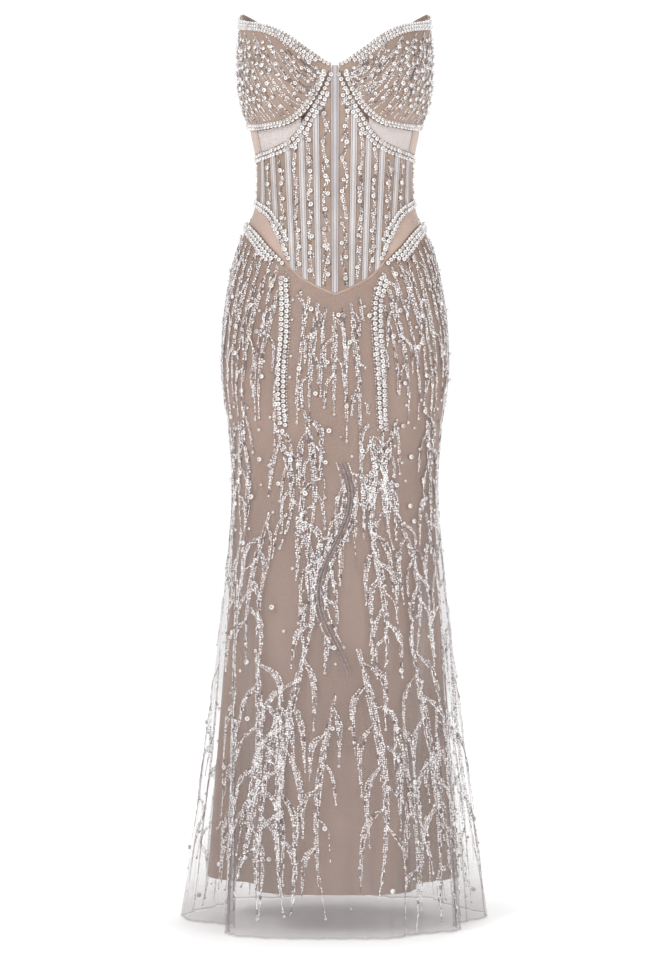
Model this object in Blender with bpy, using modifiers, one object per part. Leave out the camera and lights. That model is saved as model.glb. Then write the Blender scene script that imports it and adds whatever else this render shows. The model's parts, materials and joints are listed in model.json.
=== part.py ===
"""A strapless beaded maxi dress, worn and filled out, with no wearer in it.

Metres, +Z up, the front faces -Y and +X is to the right of someone who looks at the front.
The origin is in the middle of the waist. Every piece is a closed wall of cloth, or a raised
band of beads, laid on one surface: an oval section at each height, plus the swell of the cups.
A place on that surface is an angle round the dress, 0 at the centre front, 90 at the side
seam on +X and 180 at the centre back, and a height.
"""

import math

import bmesh
import bpy
from mathutils import Matrix, Vector

# Driving sizes

HEM_HEIGHT = -1.087
LINING_HEM_HEIGHT = -1.030
KNEE_HEIGHT = -0.470
SEAM_GAP = 0.0003
CUP_EDGE_ROOM = 0.0007
LINING_BELOW_SEAM = 0.0019
NET_BELOW_SEAM = 0.0036
CLOTH = 0.0015
CUP_CLOTH = 0.0025
LINING_CLOTH = 0.0012
NET_CLOTH = 0.0010
NET_STAND_OFF = 0.0008
ZIP_WIDTH = 0.0040
ZIP_CLOTH = 0.0014
ZIP_END_HEIGHT = -0.244
BONE_CLOTH = 0.0012
BONE_RIDGE = 0.0005
PEARL_PITCH = 0.0090
PEARL_HEIGHT = 0.0034
PEARL_DIP = 0.0018
CUP_SWELL = 0.045

# The oval at each height: half width at the side seams, depth to the front and to the back.
SECTIONS = (
    # height, half width, front, back
    (0.255, 0.1365, 0.0985, 0.0960),
    (0.230, 0.1345, 0.1000, 0.0980),
    (0.170, 0.1270, 0.1030, 0.1000),
    (0.120, 0.1240, 0.1000, 0.0980),
    (0.070, 0.1215, 0.0950, 0.0930),
    (0.032, 0.1145, 0.0900, 0.0850),
    (0.000, 0.1125, 0.0880, 0.0800),
    (-0.035, 0.1145, 0.0890, 0.0830),
    (-0.056, 0.1200, 0.0910, 0.0890),
    (-0.074, 0.1290, 0.0940, 0.0970),
    (-0.120, 0.1450, 0.1010, 0.1180),
    (-0.180, 0.1570, 0.1080, 0.1330),
    (-0.238, 0.1630, 0.1120, 0.1370),
    (-0.297, 0.1630, 0.1130, 0.1310),
    (-0.356, 0.1550, 0.1110, 0.1200),
    (-0.420, 0.1475, 0.1080, 0.1110),
    (-0.470, 0.1460, 0.1070, 0.1080),
)

# The seams that run round the body: angle from the centre front and height.
NECK_EDGE = (
    (0.0, 0.1530),
    (6.0, 0.1580),
    (9.7, 0.1640),
    (19.8, 0.1800),
    (29.7, 0.1970),
    (41.0, 0.2105),
    (52.5, 0.2180),
    (69.0, 0.2250),
    (90.0, 0.2350),
    (100.0, 0.2430),
    (126.0, 0.2340),
    (145.0, 0.2080),
    (160.0, 0.1860),
    (180.0, 0.1680),
)
CUP_EDGE = (
    (0.0, 0.1520),
    (2.0, 0.1510),
    (5.3, 0.1370),
    (10.0, 0.1155),
    (15.6, 0.0950),
    (21.0, 0.0824),
    (31.5, 0.0700),
    (45.0, 0.0660),
    (64.0, 0.0645),
    (90.0, 0.0690),
    (130.0, 0.0700),
    (180.0, 0.0720),
)
CORSET_TOP = (
    (0.0, 0.1520),
    (2.0, 0.1510),
    (5.3, 0.1370),
    (10.0, 0.1155),
    (15.6, 0.0950),
    (20.0, 0.0815),
    (24.0, 0.0670),
    (28.5, 0.0575),
    (34.6, 0.0485),
    (42.5, 0.0425),
    (51.5, 0.0380),
    (66.0, 0.0342),
    (90.0, 0.0331),
    (135.0, 0.0360),
    (180.0, 0.0450),
)
CORSET_LOW = (
    (26.0, -0.1360),
    (29.0, -0.1250),
    (32.7, -0.1090),
    (39.3, -0.0891),
    (48.5, -0.0698),
    (61.0, -0.0560),
    (75.0, -0.0480),
    (90.0, -0.0430),
    (120.0, -0.0460),
    (150.0, -0.0580),
    (180.0, -0.0700),
)
HIP_SEAM = (
    (0.0, -0.1765),
    (6.5, -0.1695),
    (14.9, -0.1580),
    (20.0, -0.1500),
    (24.5, -0.1395),
    (30.2, -0.1250),
    (39.9, -0.1070),
    (51.4, -0.0880),
    (63.0, -0.0756),
    (76.6, -0.0665),
    (90.0, -0.0600),
    (120.0, -0.0770),
    (150.0, -0.1050),
    (180.0, -0.1250),
)

# How much of the cups' swell there is at each angle round the body.
SWELL_ROUND = (
    (0.0, 0.00),
    (5.0, 0.03),
    (15.0, 0.38),
    (28.0, 0.86),
    (40.0, 1.00),
    (55.0, 0.82),
    (72.0, 0.47),
    (90.0, 0.30),
    (115.0, 0.08),
    (135.0, 0.00),
    (180.0, 0.00),
)

# The skirt's fold lines: where each leaves the knee, and where it meets the two hems.
FOLD_LINES = (
    # knee angle, net hem x, net hem y, lining hem x, lining hem y
    (-166.0, -0.052, 0.226, -0.044, 0.188),
    (-152.0, -0.088, 0.198, -0.075, 0.168),
    (-138.0, -0.142, 0.196, -0.118, 0.160),
    (-126.0, -0.158, 0.150, -0.134, 0.126),
    (-113.0, -0.182, 0.100, -0.152, 0.090),
    (-99.0, -0.219, 0.026, -0.184, 0.036),
    (-91.0, -0.210, -0.034, -0.180, 0.006),
    (-86.0, -0.172, -0.058, -0.156, -0.022),
    (-80.0, -0.142, -0.084, -0.124, -0.046),
    (-71.0, -0.151, -0.130, -0.110, -0.086),
    (-58.0, -0.143, -0.174, -0.112, -0.132),
    (-38.0, -0.096, -0.198, -0.078, -0.170),
    (-18.0, -0.045, -0.205, -0.040, -0.177),
    (0.0, 0.000, -0.206, 0.000, -0.178),
    (18.0, 0.045, -0.206, 0.040, -0.178),
    (35.0, 0.082, -0.202, 0.076, -0.171),
    (48.0, 0.106, -0.172, 0.104, -0.146),
    (60.0, 0.142, -0.151, 0.115, -0.106),
    (71.0, 0.175, -0.128, 0.114, -0.066),
    (79.0, 0.170, -0.078, 0.138, -0.036),
    (86.0, 0.192, -0.038, 0.164, -0.014),
    (93.0, 0.218, -0.002, 0.180, 0.014),
    (101.0, 0.216, 0.044, 0.180, 0.044),
    (114.0, 0.180, 0.102, 0.152, 0.092),
    (127.0, 0.160, 0.150, 0.134, 0.128),
    (139.0, 0.140, 0.198, 0.116, 0.162),
    (153.0, 0.086, 0.200, 0.073, 0.170),
    (166.0, 0.052, 0.228, 0.044, 0.190),
    (180.0, 0.000, 0.240, 0.000, 0.196),
)
HALF_STEPS = 2

# The bones of the corset front: distance out from the centre at the waist, and half width seen.
BONES = (
    # name, out at the waist, half width
    ("centre", 0.0, 0.0050),
    ("1", 0.0260, 0.0042),
    ("2", 0.0465, 0.0040),
    ("3", 0.0660, 0.0038),
    ("4", 0.0875, 0.0032),
    ("5", 0.1030, 0.0020),
)
BONE_CONVERGE = 0.60

# Colours of the cloths and the metal.
NUDE_SATIN = (0.50, 0.37, 0.30, 1.0)
NUDE_MESH = (0.72, 0.64, 0.58, 1.0)
IVORY_NET = (0.80, 0.76, 0.74, 1.0)
SILVER_SATIN = (0.72, 0.70, 0.70, 1.0)
PEARL = (0.86, 0.84, 0.82, 1.0)
ZIP_TAPE = (0.47, 0.36, 0.30, 1.0)
ZIP_METAL = (0.62, 0.60, 0.57, 1.0)


def clear_scene():
    for old in list(bpy.data.objects):
        bpy.data.objects.remove(old)


def make_collection(name):
    made = bpy.data.collections.new(name)
    bpy.context.scene.collection.children.link(made)
    return made


def material(name, colour, roughness, metallic=0.0):
    made = bpy.data.materials.new(name)
    made.use_nodes = True
    shader = made.node_tree.nodes["Principled BSDF"]
    shader.inputs["Base Color"].default_value = colour
    shader.inputs["Roughness"].default_value = roughness
    shader.inputs["Metallic"].default_value = metallic
    return made


def smooth_value(rows, at, column=1):
    """A smooth curve through the rows of a table, read at a value of its first column."""
    if rows[0][0] > rows[-1][0]:
        rows = rows[::-1]
    last = len(rows) - 1
    at = min(max(at, rows[0][0]), rows[last][0])
    i = 0
    while i < last - 1 and at > rows[i + 1][0]:
        i += 1

    def slope(k):
        low, high = max(k - 1, 0), min(k + 1, last)
        return (rows[high][column] - rows[low][column]) / (rows[high][0] - rows[low][0])

    span = rows[i + 1][0] - rows[i][0]
    t = (at - rows[i][0]) / span
    start, end = rows[i][column], rows[i + 1][column]
    return (
        start * (2 * t**3 - 3 * t**2 + 1)
        + end * (3 * t**2 - 2 * t**3)
        + slope(i) * span * (t**3 - 2 * t**2 + t)
        + slope(i + 1) * span * (t**3 - t**2)
    )


def smooth_step(value):
    value = min(max(value, 0.0), 1.0)
    return value * value * (3 - 2 * value)


# The surface that the dress follows


def oval(angle, height):
    """A point of the oval section at this height, and the way out of it, level with the floor."""
    turn = math.radians(angle)
    half = smooth_value(SECTIONS, height, 1)
    depth = smooth_value(SECTIONS, height, 2 if math.cos(turn) >= 0 else 3)
    point = Vector((half * math.sin(turn), -depth * math.cos(turn), height))
    way_out = Vector((math.sin(turn) / half, -math.cos(turn) / depth, 0.0)).normalized()
    return point, way_out


def cup_swell(angle, height):
    """How far the cups, and the band behind them, stand out from the oval."""
    side = abs(angle)
    low = smooth_value(CUP_EDGE, side)
    high = smooth_value(NECK_EDGE, side)
    up = min(max((height - low) / (high - low), 0.0), 1.0)
    profile = 0.88 * math.sin(math.pi * up**0.85) + 0.12 * smooth_step(up / 0.3)
    return CUP_SWELL * profile * smooth_value(SWELL_ROUND, side)


def swell_way(angle):
    """The cups swell mostly forward, and more and more sideways towards the side seam."""
    side = abs(angle)
    turned = math.radians(side * (0.45 + 0.55 * smooth_step((side - 50) / 40)))
    return Vector((math.copysign(math.sin(turned), angle), -math.cos(turned), 0.0))


def on_body(angle, height, lift=0.0, swell=False):
    point, way_out = oval(angle, height)
    if swell:
        point = point + swell_way(angle) * cup_swell(angle, height)
    return point + way_out * lift


def angle_at(out, height):
    """The angle of the place on the front that lies this far out from the centre."""
    half = smooth_value(SECTIONS, height, 1)
    share = min(max(out / half, -1.0), 1.0)
    return math.degrees(math.asin(share))


# Walls of cloth from a grid of places


def add_object(name, collection, look, vertices, faces):
    mesh = bpy.data.meshes.new(name)
    mesh.from_pydata(vertices, [], faces)
    mesh.materials.append(look)
    made = bpy.data.objects.new(name, mesh)
    collection.objects.link(made)
    form = bmesh.new()
    form.from_mesh(mesh)
    if form.calc_volume(signed=True) < 0:
        bmesh.ops.reverse_faces(form, faces=form.faces)
    form.to_mesh(mesh)
    form.free()
    mesh.shade_smooth()
    mesh.set_sharp_from_angle(angle=math.radians(40))
    return made


def wall(name, collection, look, inside, outside):
    """A closed wall between two grids of points of the same size."""
    rows, columns = len(inside), len(inside[0])
    vertices = [p for row in inside for p in row] + [p for row in outside for p in row]
    skin = rows * columns

    def at(row, column, layer):
        return layer * skin + row * columns + column

    faces = []
    for r in range(rows - 1):
        for c in range(columns - 1):
            faces.append((at(r, c, 0), at(r + 1, c, 0), at(r + 1, c + 1, 0), at(r, c + 1, 0)))
            faces.append((at(r, c, 1), at(r, c + 1, 1), at(r + 1, c + 1, 1), at(r + 1, c, 1)))
    top, end = rows - 1, columns - 1
    for c in range(end):
        faces.append((at(0, c, 0), at(0, c + 1, 0), at(0, c + 1, 1), at(0, c, 1)))
        faces.append((at(top, c, 1), at(top, c + 1, 1), at(top, c + 1, 0), at(top, c, 0)))
    for r in range(top):
        faces.append((at(r, 0, 0), at(r, 0, 1), at(r + 1, 0, 1), at(r + 1, 0, 0)))
        faces.append((at(r + 1, end, 0), at(r + 1, end, 1), at(r, end, 1), at(r, end, 0)))
    return add_object(name, collection, look, vertices, faces)


def panel(name, collection, look, places, lift, thickness, swell=False):
    """A wall over a grid of (angle, height) places. thickness is one value, or one for each column."""
    depth = thickness if isinstance(thickness, (list, tuple)) else [thickness] * len(places[0])
    inside = [[on_body(a, h, lift, swell) for a, h in row] for row in places]
    outside = [[on_body(a, h, lift + depth[c], swell) for c, (a, h) in enumerate(row)] for row in places]
    return wall(name, collection, look, inside, outside)


def rows_between(count, ease=1.0):
    return [(i / count) ** ease for i in range(count + 1)]


def tier_places(angles, low, high, shares):
    """Places in rows from one seam up to another, half a seam gap inside each."""
    half_gap = SEAM_GAP / 2
    places = []
    for share in shares:
        row = []
        for angle in angles:
            bottom = low(angle) + half_gap
            top = high(angle) - half_gap
            row.append((angle, bottom + (top - bottom) * share))
        places.append(row)
    return places


def both_sides(build):
    """Builds a piece on the left, the side of -X, and on the right."""
    for side, sign in (("left", -1.0), ("right", 1.0)):
        build(side, sign)


def seam(table):
    return lambda angle: smooth_value(table, abs(angle))


neck_edge = seam(NECK_EDGE)
cup_edge = seam(CUP_EDGE)
corset_top = seam(CORSET_TOP)
corset_low_line = seam(CORSET_LOW)
hip_seam = seam(HIP_SEAM)
CORSET_TIP_ANGLE = CORSET_LOW[0][0]


def corset_low(angle):
    """The lower edge of the corset: the hip seam at the front, and then the edge that climbs."""
    if abs(angle) <= CORSET_TIP_ANGLE:
        return hip_seam(angle)
    return max(corset_low_line(angle), hip_seam(angle))


# Bodice pieces


def signed(angles, sign):
    return [sign * angle for angle in angles]


CUP_ANGLES = (2.7, 4.2, 6.2, 9.0, 12.5, 16.5, 21.5, 27.5, 34.5, 42.0, 50.5, 60.0, 70.0, 80.0, 89.85)
BACK_ANGLES = (90.15, 98.0, 107.0, 117.0, 128.0, 140.0, 152.0, 163.0, 172.0)


def back_angle_end(height, gap):
    """The angle of the centre back edge, which leaves room for the zip."""
    half = smooth_value(SECTIONS, height, 1)
    return 180.0 - math.degrees(math.asin(gap / half))


def above_cup_edge(angle):
    """The cup's own cut edge, which stands clear of the window and the corset."""
    return cup_edge(angle) + CUP_EDGE_ROOM


def build_cups(collection, look):
    def one(side, sign):
        places = tier_places(signed(CUP_ANGLES, sign), above_cup_edge, neck_edge, rows_between(9, 1.25))
        panel(f"cup_{side}", collection, look, places, 0.0, CUP_CLOTH, swell=True)

    both_sides(one)


def corset_column(out, height):
    """A line of the corset cut: it stays near upright, and the outermost follow the side seam."""
    waist_half = smooth_value(SECTIONS, 0.0, 1)
    half = smooth_value(SECTIONS, height, 1)
    upright = out * (1 + BONE_CONVERGE * height)
    along = out * half / waist_half
    share = smooth_step((abs(out) / waist_half - 0.82) / 0.18)
    return angle_at(upright * (1 - share) + along * share, height)


def column_meets(out, edge, start):
    """The place where a line of the corset cut meets an edge."""
    height = start
    for _ in range(12):
        height = edge(corset_column(out, height))
    return height


def corset_columns():
    """Distances out at the waist of every line of the corset cut, bone edges among them."""
    half = smooth_value(SECTIONS, 0.0, 1) - SEAM_GAP / 20
    outs = {0.0, 0.0134, 0.0363, 0.0563, 0.0732, 0.0788, 0.0960, 0.1085, 0.1113, half}
    for _, out, width in BONES:
        outs |= {out - width, out, out + width} if out else {width}
    right = sorted(outs)
    return [-out for out in right[:0:-1]] + right


def corset_places(outs, low, high, shares):
    half_gap = SEAM_GAP / 2
    places = [[] for _ in shares]
    for out in outs:
        bottom = column_meets(out, low, -0.05) + half_gap
        top = column_meets(out, high, 0.05) - half_gap
        for row, share in zip(places, shares):
            height = bottom + (top - bottom) * share
            row.append((corset_column(out, height), height))
    return places


def build_corset(collection, cloth, satin):
    outs = corset_columns()
    shares = rows_between(6)
    places = corset_places(outs, corset_low, corset_top, shares)
    panel("corset_front", collection, cloth, places, 0.0, CLOTH)
    for name, out, width in BONES:
        for side, sign in (("left", -1.0), ("right", 1.0)):
            if not out and sign < 0:
                continue
            edges = sorted((sign * (out - width), sign * out, sign * (out + width)))
            strip = [[row[nearest(outs, edge)] for edge in edges] for row in places]
            title = "bone_centre" if not out else f"bone_{side}_{name}"
            lift = CLOTH + SEAM_GAP
            depths = [BONE_CLOTH, BONE_CLOTH + BONE_RIDGE, BONE_CLOTH]
            panel(title, collection, satin, strip, lift, depths)


def nearest(values, wanted):
    return min(range(len(values)), key=lambda i: abs(values[i] - wanted))


def build_side_panels(collection, mesh_look, cloth):
    """The see-through window under each cup, and the plain panel above each hip."""

    def one(side, sign):
        outs = [sign * out for out in corset_columns() if out > 0.046]
        window = corset_places(outs, corset_top, cup_edge, rows_between(3))
        panel(f"window_{side}", collection, mesh_look, window, 0.0, CLOTH)
        outs = [sign * out for out in corset_columns() if out > 0.072]
        plain = corset_places(outs, hip_seam, corset_low, rows_between(3))
        panel(f"waist_panel_{side}", collection, cloth, plain, 0.0, CLOTH)
        angles = signed((67.5, 71.5, 76.0, 80.5, 85.0, 89.6), sign)
        casing = tier_places(angles, corset_top, cup_edge, rows_between(3))
        panel(f"side_casing_{side}", collection, cloth, casing, CLOTH + SEAM_GAP, BONE_CLOTH)

    both_sides(one)


def back_places(sign, low, high, shares):
    angles = signed(BACK_ANGLES, sign)
    places = tier_places(angles, low, high, shares)
    for row, share in zip(places, shares):
        bottom, top = low(180.0) + SEAM_GAP / 2, high(180.0) - SEAM_GAP / 2
        height = bottom + (top - bottom) * share
        row.append((sign * back_angle_end(height, ZIP_WIDTH / 2 + SEAM_GAP), height))
    return places


def build_back(collection, mesh_look, cloth):
    tiers = (
        ("back_band", cup_edge, neck_edge, 5, cloth, CUP_CLOTH),
        ("back_window", corset_top, cup_edge, 2, mesh_look, CLOTH),
        ("corset_back", corset_low, corset_top, 4, cloth, CLOTH),
        ("back_waist_panel", hip_seam, corset_low, 2, cloth, CLOTH),
    )
    for name, low, high, count, look, thickness in tiers:
        for side, sign in (("left", -1.0), ("right", 1.0)):
            places = back_places(sign, low, high, rows_between(count))
            swell = name == "back_band"
            panel(f"{name}_{side}", collection, look, places, 0.0, thickness, swell)


# Skirt pieces


def fold_line(position, net):
    """A place between the rows of the fold table: knee angle and hem point."""
    count = len(FOLD_LINES)
    index = math.floor(position)
    t = position - index
    rows = []
    for step in (-1, 0, 1, 2):
        at = index + step
        row = FOLD_LINES[at % count]
        hem = row[1:3] if net else row[3:5]
        rows.append((row[0] + 360.0 * (at // count), *hem))

    def blend(k):
        a, b, c, d = (row[k] for row in rows)
        return 0.5 * (
            2 * b + (c - a) * t + (2 * a - 5 * b + 4 * c - d) * t**2 + (3 * b - a - 3 * c + d) * t**3
        )

    return blend(0), Vector((blend(1), blend(2), 0.0))


def skirt_point(position, share, net, hem_height):
    """share is -1 at the hip seam, 0 at the knee and 1 at the hem."""
    knee_angle, hem = fold_line(position, net)
    if share <= 0.0:
        below = NET_BELOW_SEAM if net else LINING_BELOW_SEAM
        top = hip_seam(((knee_angle + 180.0) % 360.0) - 180.0) - below
        height = KNEE_HEIGHT + (top - KNEE_HEIGHT) * -share
        return oval(knee_angle, height)[0]
    knee = oval(knee_angle, KNEE_HEIGHT)[0]
    height = KNEE_HEIGHT + (hem_height - KNEE_HEIGHT) * share
    spread = share - 0.04 * math.sin(math.pi * share) * (1 - share)
    point = knee.lerp(Vector((hem.x, hem.y, 0.0)), spread)
    point.z = height
    return point


def level_way_out(position, share, net, hem_height):
    step = 0.04
    ahead = skirt_point(position + step, share, net, hem_height)
    behind = skirt_point(position - step, share, net, hem_height)
    along = ahead - behind
    return Vector((along.y, -along.x, 0.0)).normalized()


def skirt_panel(name, collection, look, start, end, net, lift, thickness, hem_height, shares):
    """A wall of the skirt from one fold-table place to another."""
    steps = round((end - start) * HALF_STEPS)
    inside, outside = [], []
    for share in shares:
        inner_row, outer_row = [], []
        for i in range(steps + 1):
            position = start + (end - start) * i / steps
            point = skirt_point(position, share, net, hem_height)
            way_out = level_way_out(position, share, net, hem_height)
            pull = Vector((0.0, 0.0, 0.0))
            if i in (0, steps):
                along = Vector((-way_out.y, way_out.x, 0.0)) * (1 if i == 0 else -1)
                pull = along * edge_room(position, point.z)
            inner_row.append(point + way_out * lift + pull)
            outer_row.append(point + way_out * (lift + thickness) + pull)
        inside.append(inner_row)
        outside.append(outer_row)
    return wall(name, collection, look, inside, outside)


def edge_room(position, height):
    """The centre back edges part round the zip, and every other seam leaves half a seam gap."""
    at_back = abs(position - (len(FOLD_LINES) - 1)) < 0.01 or abs(position + 1) < 0.01
    if at_back and height > ZIP_END_HEIGHT - 0.010:
        return ZIP_WIDTH / 2 + SEAM_GAP
    return SEAM_GAP / 2


def build_skirts(collection, satin, net_look):
    back = len(FOLD_LINES) - 1
    left_seam = [row[0] for row in FOLD_LINES].index(-91.0)
    right_seam = [row[0] for row in FOLD_LINES].index(93.0)
    fitted = [-1.0, -0.82, -0.645, -0.60, -0.40, -0.20, 0.0]
    lining_flare = [0.10, 0.24, 0.40, 0.58, 0.78, 1.0]
    net_flare = [0.08, 0.18, 0.30, 0.44, 0.58, 0.72, 0.86, 1.0]
    spans = (
        ("back_left", -1.0, left_seam),
        ("front", left_seam, right_seam),
        ("back_right", right_seam, back),
    )
    net_lift = LINING_CLOTH + NET_STAND_OFF
    for side, start, end in spans:
        skirt_panel(
            f"lining_{side}", collection, satin, start, end, False,
            0.0, LINING_CLOTH, LINING_HEM_HEIGHT, fitted + lining_flare,
        )
        skirt_panel(
            f"net_{side}", collection, net_look, start, end, True,
            net_lift, NET_CLOTH, HEM_HEIGHT, fitted + net_flare,
        )


# Bands of pearls, sewn along the seams


def band_frame(angle, height, swell):
    """The point and the two directions of the surface there, for each degree and each metre."""
    point = on_body(angle, height, 0.0, swell)
    per_degree = on_body(angle + 0.5, height, 0.0, swell) - on_body(angle - 0.5, height, 0.0, swell)
    per_metre = (on_body(angle, height + 0.001, 0.0, swell) - on_body(angle, height - 0.001, 0.0, swell)) / 0.002
    return point, per_degree, per_metre


def walk(path, pitch, swell):
    """Places at an even pitch along a path of (angle, height) places."""
    fine = []
    per_leg = 12
    for first, second in zip(path, path[1:]):
        for i in range(per_leg):
            t = i / per_leg
            fine.append((first[0] + (second[0] - first[0]) * t, first[1] + (second[1] - first[1]) * t))
    fine.append(path[-1])
    points = [on_body(a, h, 0.0, swell) for a, h in fine]
    travelled = [0.0]
    for a, b in zip(points, points[1:]):
        travelled.append(travelled[-1] + (b - a).length)
    count = max(2, round(travelled[-1] / pitch))
    places = []
    k = 0
    for i in range(count + 1):
        wanted = travelled[-1] * i / count
        while k < len(travelled) - 2 and travelled[k + 1] < wanted:
            k += 1
        t = (wanted - travelled[k]) / (travelled[k + 1] - travelled[k])
        places.append(
            (
                fine[k][0] + (fine[k + 1][0] - fine[k][0]) * t,
                fine[k][1] + (fine[k + 1][1] - fine[k][1]) * t,
            )
        )
    return places


def pearl_band(name, collection, look, path, width, lift, beaded, swell=False, taper=0.0):
    """A raised band: thin at its edges, with two staggered rows of pearls, or one plain ridge.

    A taper is the length over which it grows from a narrow start to its whole width.
    """
    pitch = PEARL_PITCH / 2 if beaded else PEARL_PITCH * 1.6
    places = walk(path, pitch, swell)
    across = (-0.5, -0.2, 0.2, 0.5) if beaded else (-0.5, 0.0, 0.5)
    vertices, faces = [], []
    for i, (angle, height) in enumerate(places):
        before, after = places[max(i - 1, 0)], places[min(i + 1, len(places) - 1)]
        _, per_degree, per_metre = band_frame(angle, height, swell)
        along = per_degree * (after[0] - before[0]) + per_metre * (after[1] - before[1])
        aside = oval(angle, height)[1].cross(along).normalized()
        grown = smooth_step(i * pitch / taper) if taper else 1.0
        wide_here = width * (0.36 + 0.64 * grown)
        for k, share in enumerate(across):
            turned = aside.dot(per_degree) / per_degree.length_squared * share * wide_here
            raised = aside.dot(per_metre) / per_metre.length_squared * share * wide_here
            peak = (i + k) % 2 == 0
            tall = PEARL_HEIGHT if peak or not beaded else PEARL_DIP
            rise = tall if 0 < k < len(across) - 1 else 0.0
            vertices.append(on_body(angle + turned, height + raised, lift + rise, swell))
    wide = len(across)
    last = len(places) - 1
    for i in range(last):
        for k in range(wide - 1):
            a, b = i * wide + k, (i + 1) * wide + k
            faces.append((a, b, b + 1, a + 1))
        faces.append((i * wide, i * wide + wide - 1, (i + 1) * wide + wide - 1, (i + 1) * wide))
    faces.append(tuple(range(wide)))
    faces.append(tuple(last * wide + k for k in reversed(range(wide))))
    return add_object(name, collection, look, vertices, faces)


def beside(edge, angles, shift, swell=False, start_shift=None):
    """A path that keeps a distance from a seam: above it, or below it for a shift under 0."""
    path = []
    far = shift
    for i, angle in enumerate(angles):
        if start_shift is not None:
            shift = start_shift + (far - start_shift) * smooth_step(i / (len(angles) * 0.22))
        step = 0.5
        here = on_body(angle, edge(angle), 0.0, swell)
        ahead = on_body(angle + step, edge(angle + step), 0.0, swell)
        _, per_degree, per_metre = band_frame(angle, edge(angle), swell)
        along = (ahead - here).normalized()
        aside = along.cross(oval(angle, edge(angle))[1])
        aside = aside if aside.z > 0 else -aside
        turned = aside.dot(per_degree) / per_degree.length_squared * shift
        raised = aside.dot(per_metre) / per_metre.length_squared * shift
        path.append((angle + turned, edge(angle) + raised))
    return path


def spread_angles(start, end, count):
    return [start + (end - start) * i / count for i in range(count + 1)]


def mirrored(path, sign):
    return [(sign * angle, height) for angle, height in path]


DROP_PATHS = {
    # the two strings of pearls that hang from the hips: angle and height
    "left": ((28.4, -0.1535), (26.6, -0.190), (26.2, -0.235), (27.6, -0.285), (28.6, -0.330), (28.4, -0.366)),
    "right": ((26.8, -0.1545), (22.4, -0.188), (21.6, -0.225), (22.7, -0.272), (24.5, -0.330), (26.4, -0.373)),
}


def build_bands(collection, look):
    on_cup = CUP_CLOTH + 0.0005
    on_bones = CLOTH + SEAM_GAP + BONE_CLOTH + BONE_RIDGE + 0.0006
    on_panel = CLOTH + 0.0012
    on_net = LINING_CLOTH + NET_STAND_OFF + NET_CLOTH + 0.0006
    seam_end = 89.7
    back_start = 92.4

    def one(side, sign):
        back_end = 178.6
        front = (
            ("neck_pearls", beside(neck_edge, spread_angles(4.5, seam_end, 26), -0.0085), 0.016, 0.0),
            ("cup_pearls", beside(cup_edge, spread_angles(5.5, seam_end, 28), 0.0062), 0.010, 0.030),
        )
        for name, path, width, taper in front:
            pearl_band(
                f"{name}_{side}", collection, look, mirrored(path, sign), width, on_cup, True, True, taper
            )
        top_angles = [4.2, 5.6] + spread_angles(7.5, seam_end, 24)
        top_path = beside(corset_top, top_angles, -0.0090, False, -0.0040)
        low_path = beside(corset_low, spread_angles(28.0, seam_end, 20), 0.0085)
        hip_path = beside(hip_seam, spread_angles(28.3, seam_end, 20), -0.0102)
        plain = (
            ("corset_pearls", top_path, 0.015, on_bones, 0.045),
            ("waist_pearls", low_path, 0.015, on_bones, 0.0),
            ("hip_pearls", hip_path, 0.020, on_net, 0.0),
        )
        for name, path, width, lift, taper in plain:
            pearl_band(
                f"{name}_{side}", collection, look, mirrored(path, sign), width, lift, True, False, taper
            )
        pearl_band(
            f"drop_pearls_{side}", collection, look, mirrored(DROP_PATHS[side], sign), 0.015, on_net, True
        )
        behind = (
            ("neck_pearls_back", neck_edge, -0.0070, 0.010, CUP_CLOTH + 0.0009, True),
            ("cup_pearls_back", cup_edge, 0.0068, 0.010, CUP_CLOTH + 0.0008, True),
            ("corset_pearls_back", corset_top, -0.0070, 0.012, on_panel, False),
            ("waist_pearls_back", corset_low, 0.0070, 0.012, on_panel, False),
            ("hip_pearls_back", hip_seam, -0.0110, 0.014, on_net + 0.0005, False),
        )
        for name, edge, shift, width, lift, swell in behind:
            path = beside(edge, spread_angles(back_start, back_end - 1.0, 18), shift, swell)
            pearl_band(f"{name}_{side}", collection, look, mirrored(path, sign), width, lift, False, swell)

    both_sides(one)


# The zip at the centre back

SLIDER_WIDTH = 0.0070
SLIDER_LENGTH = 0.0096
SLIDER_PLATE = 0.0016
BRIDGE_WIDTH = 0.0012
BRIDGE_HEIGHT = 0.0034
BRIDGE_LENGTH = 0.0072
BRIDGE_BAR = 0.0010
BRIDGE_POST = 0.0012
PULL_BAR = 0.0010
PULL_LENGTH = 0.0240
PULL_HEAD_WIDTH = 0.0052
PULL_FOOT_WIDTH = 0.0062
PULL_WINDOW = 0.0052
SLIDER_BELOW_TOP = 0.0120


def zip_frame(height):
    """Where the zip's face is at a height, and its lean from upright."""
    back = smooth_value(SECTIONS, height, 3)
    above, below = smooth_value(SECTIONS, height + 0.01, 3), smooth_value(SECTIONS, height - 0.01, 3)
    return back, math.atan2(above - below, 0.02)


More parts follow.
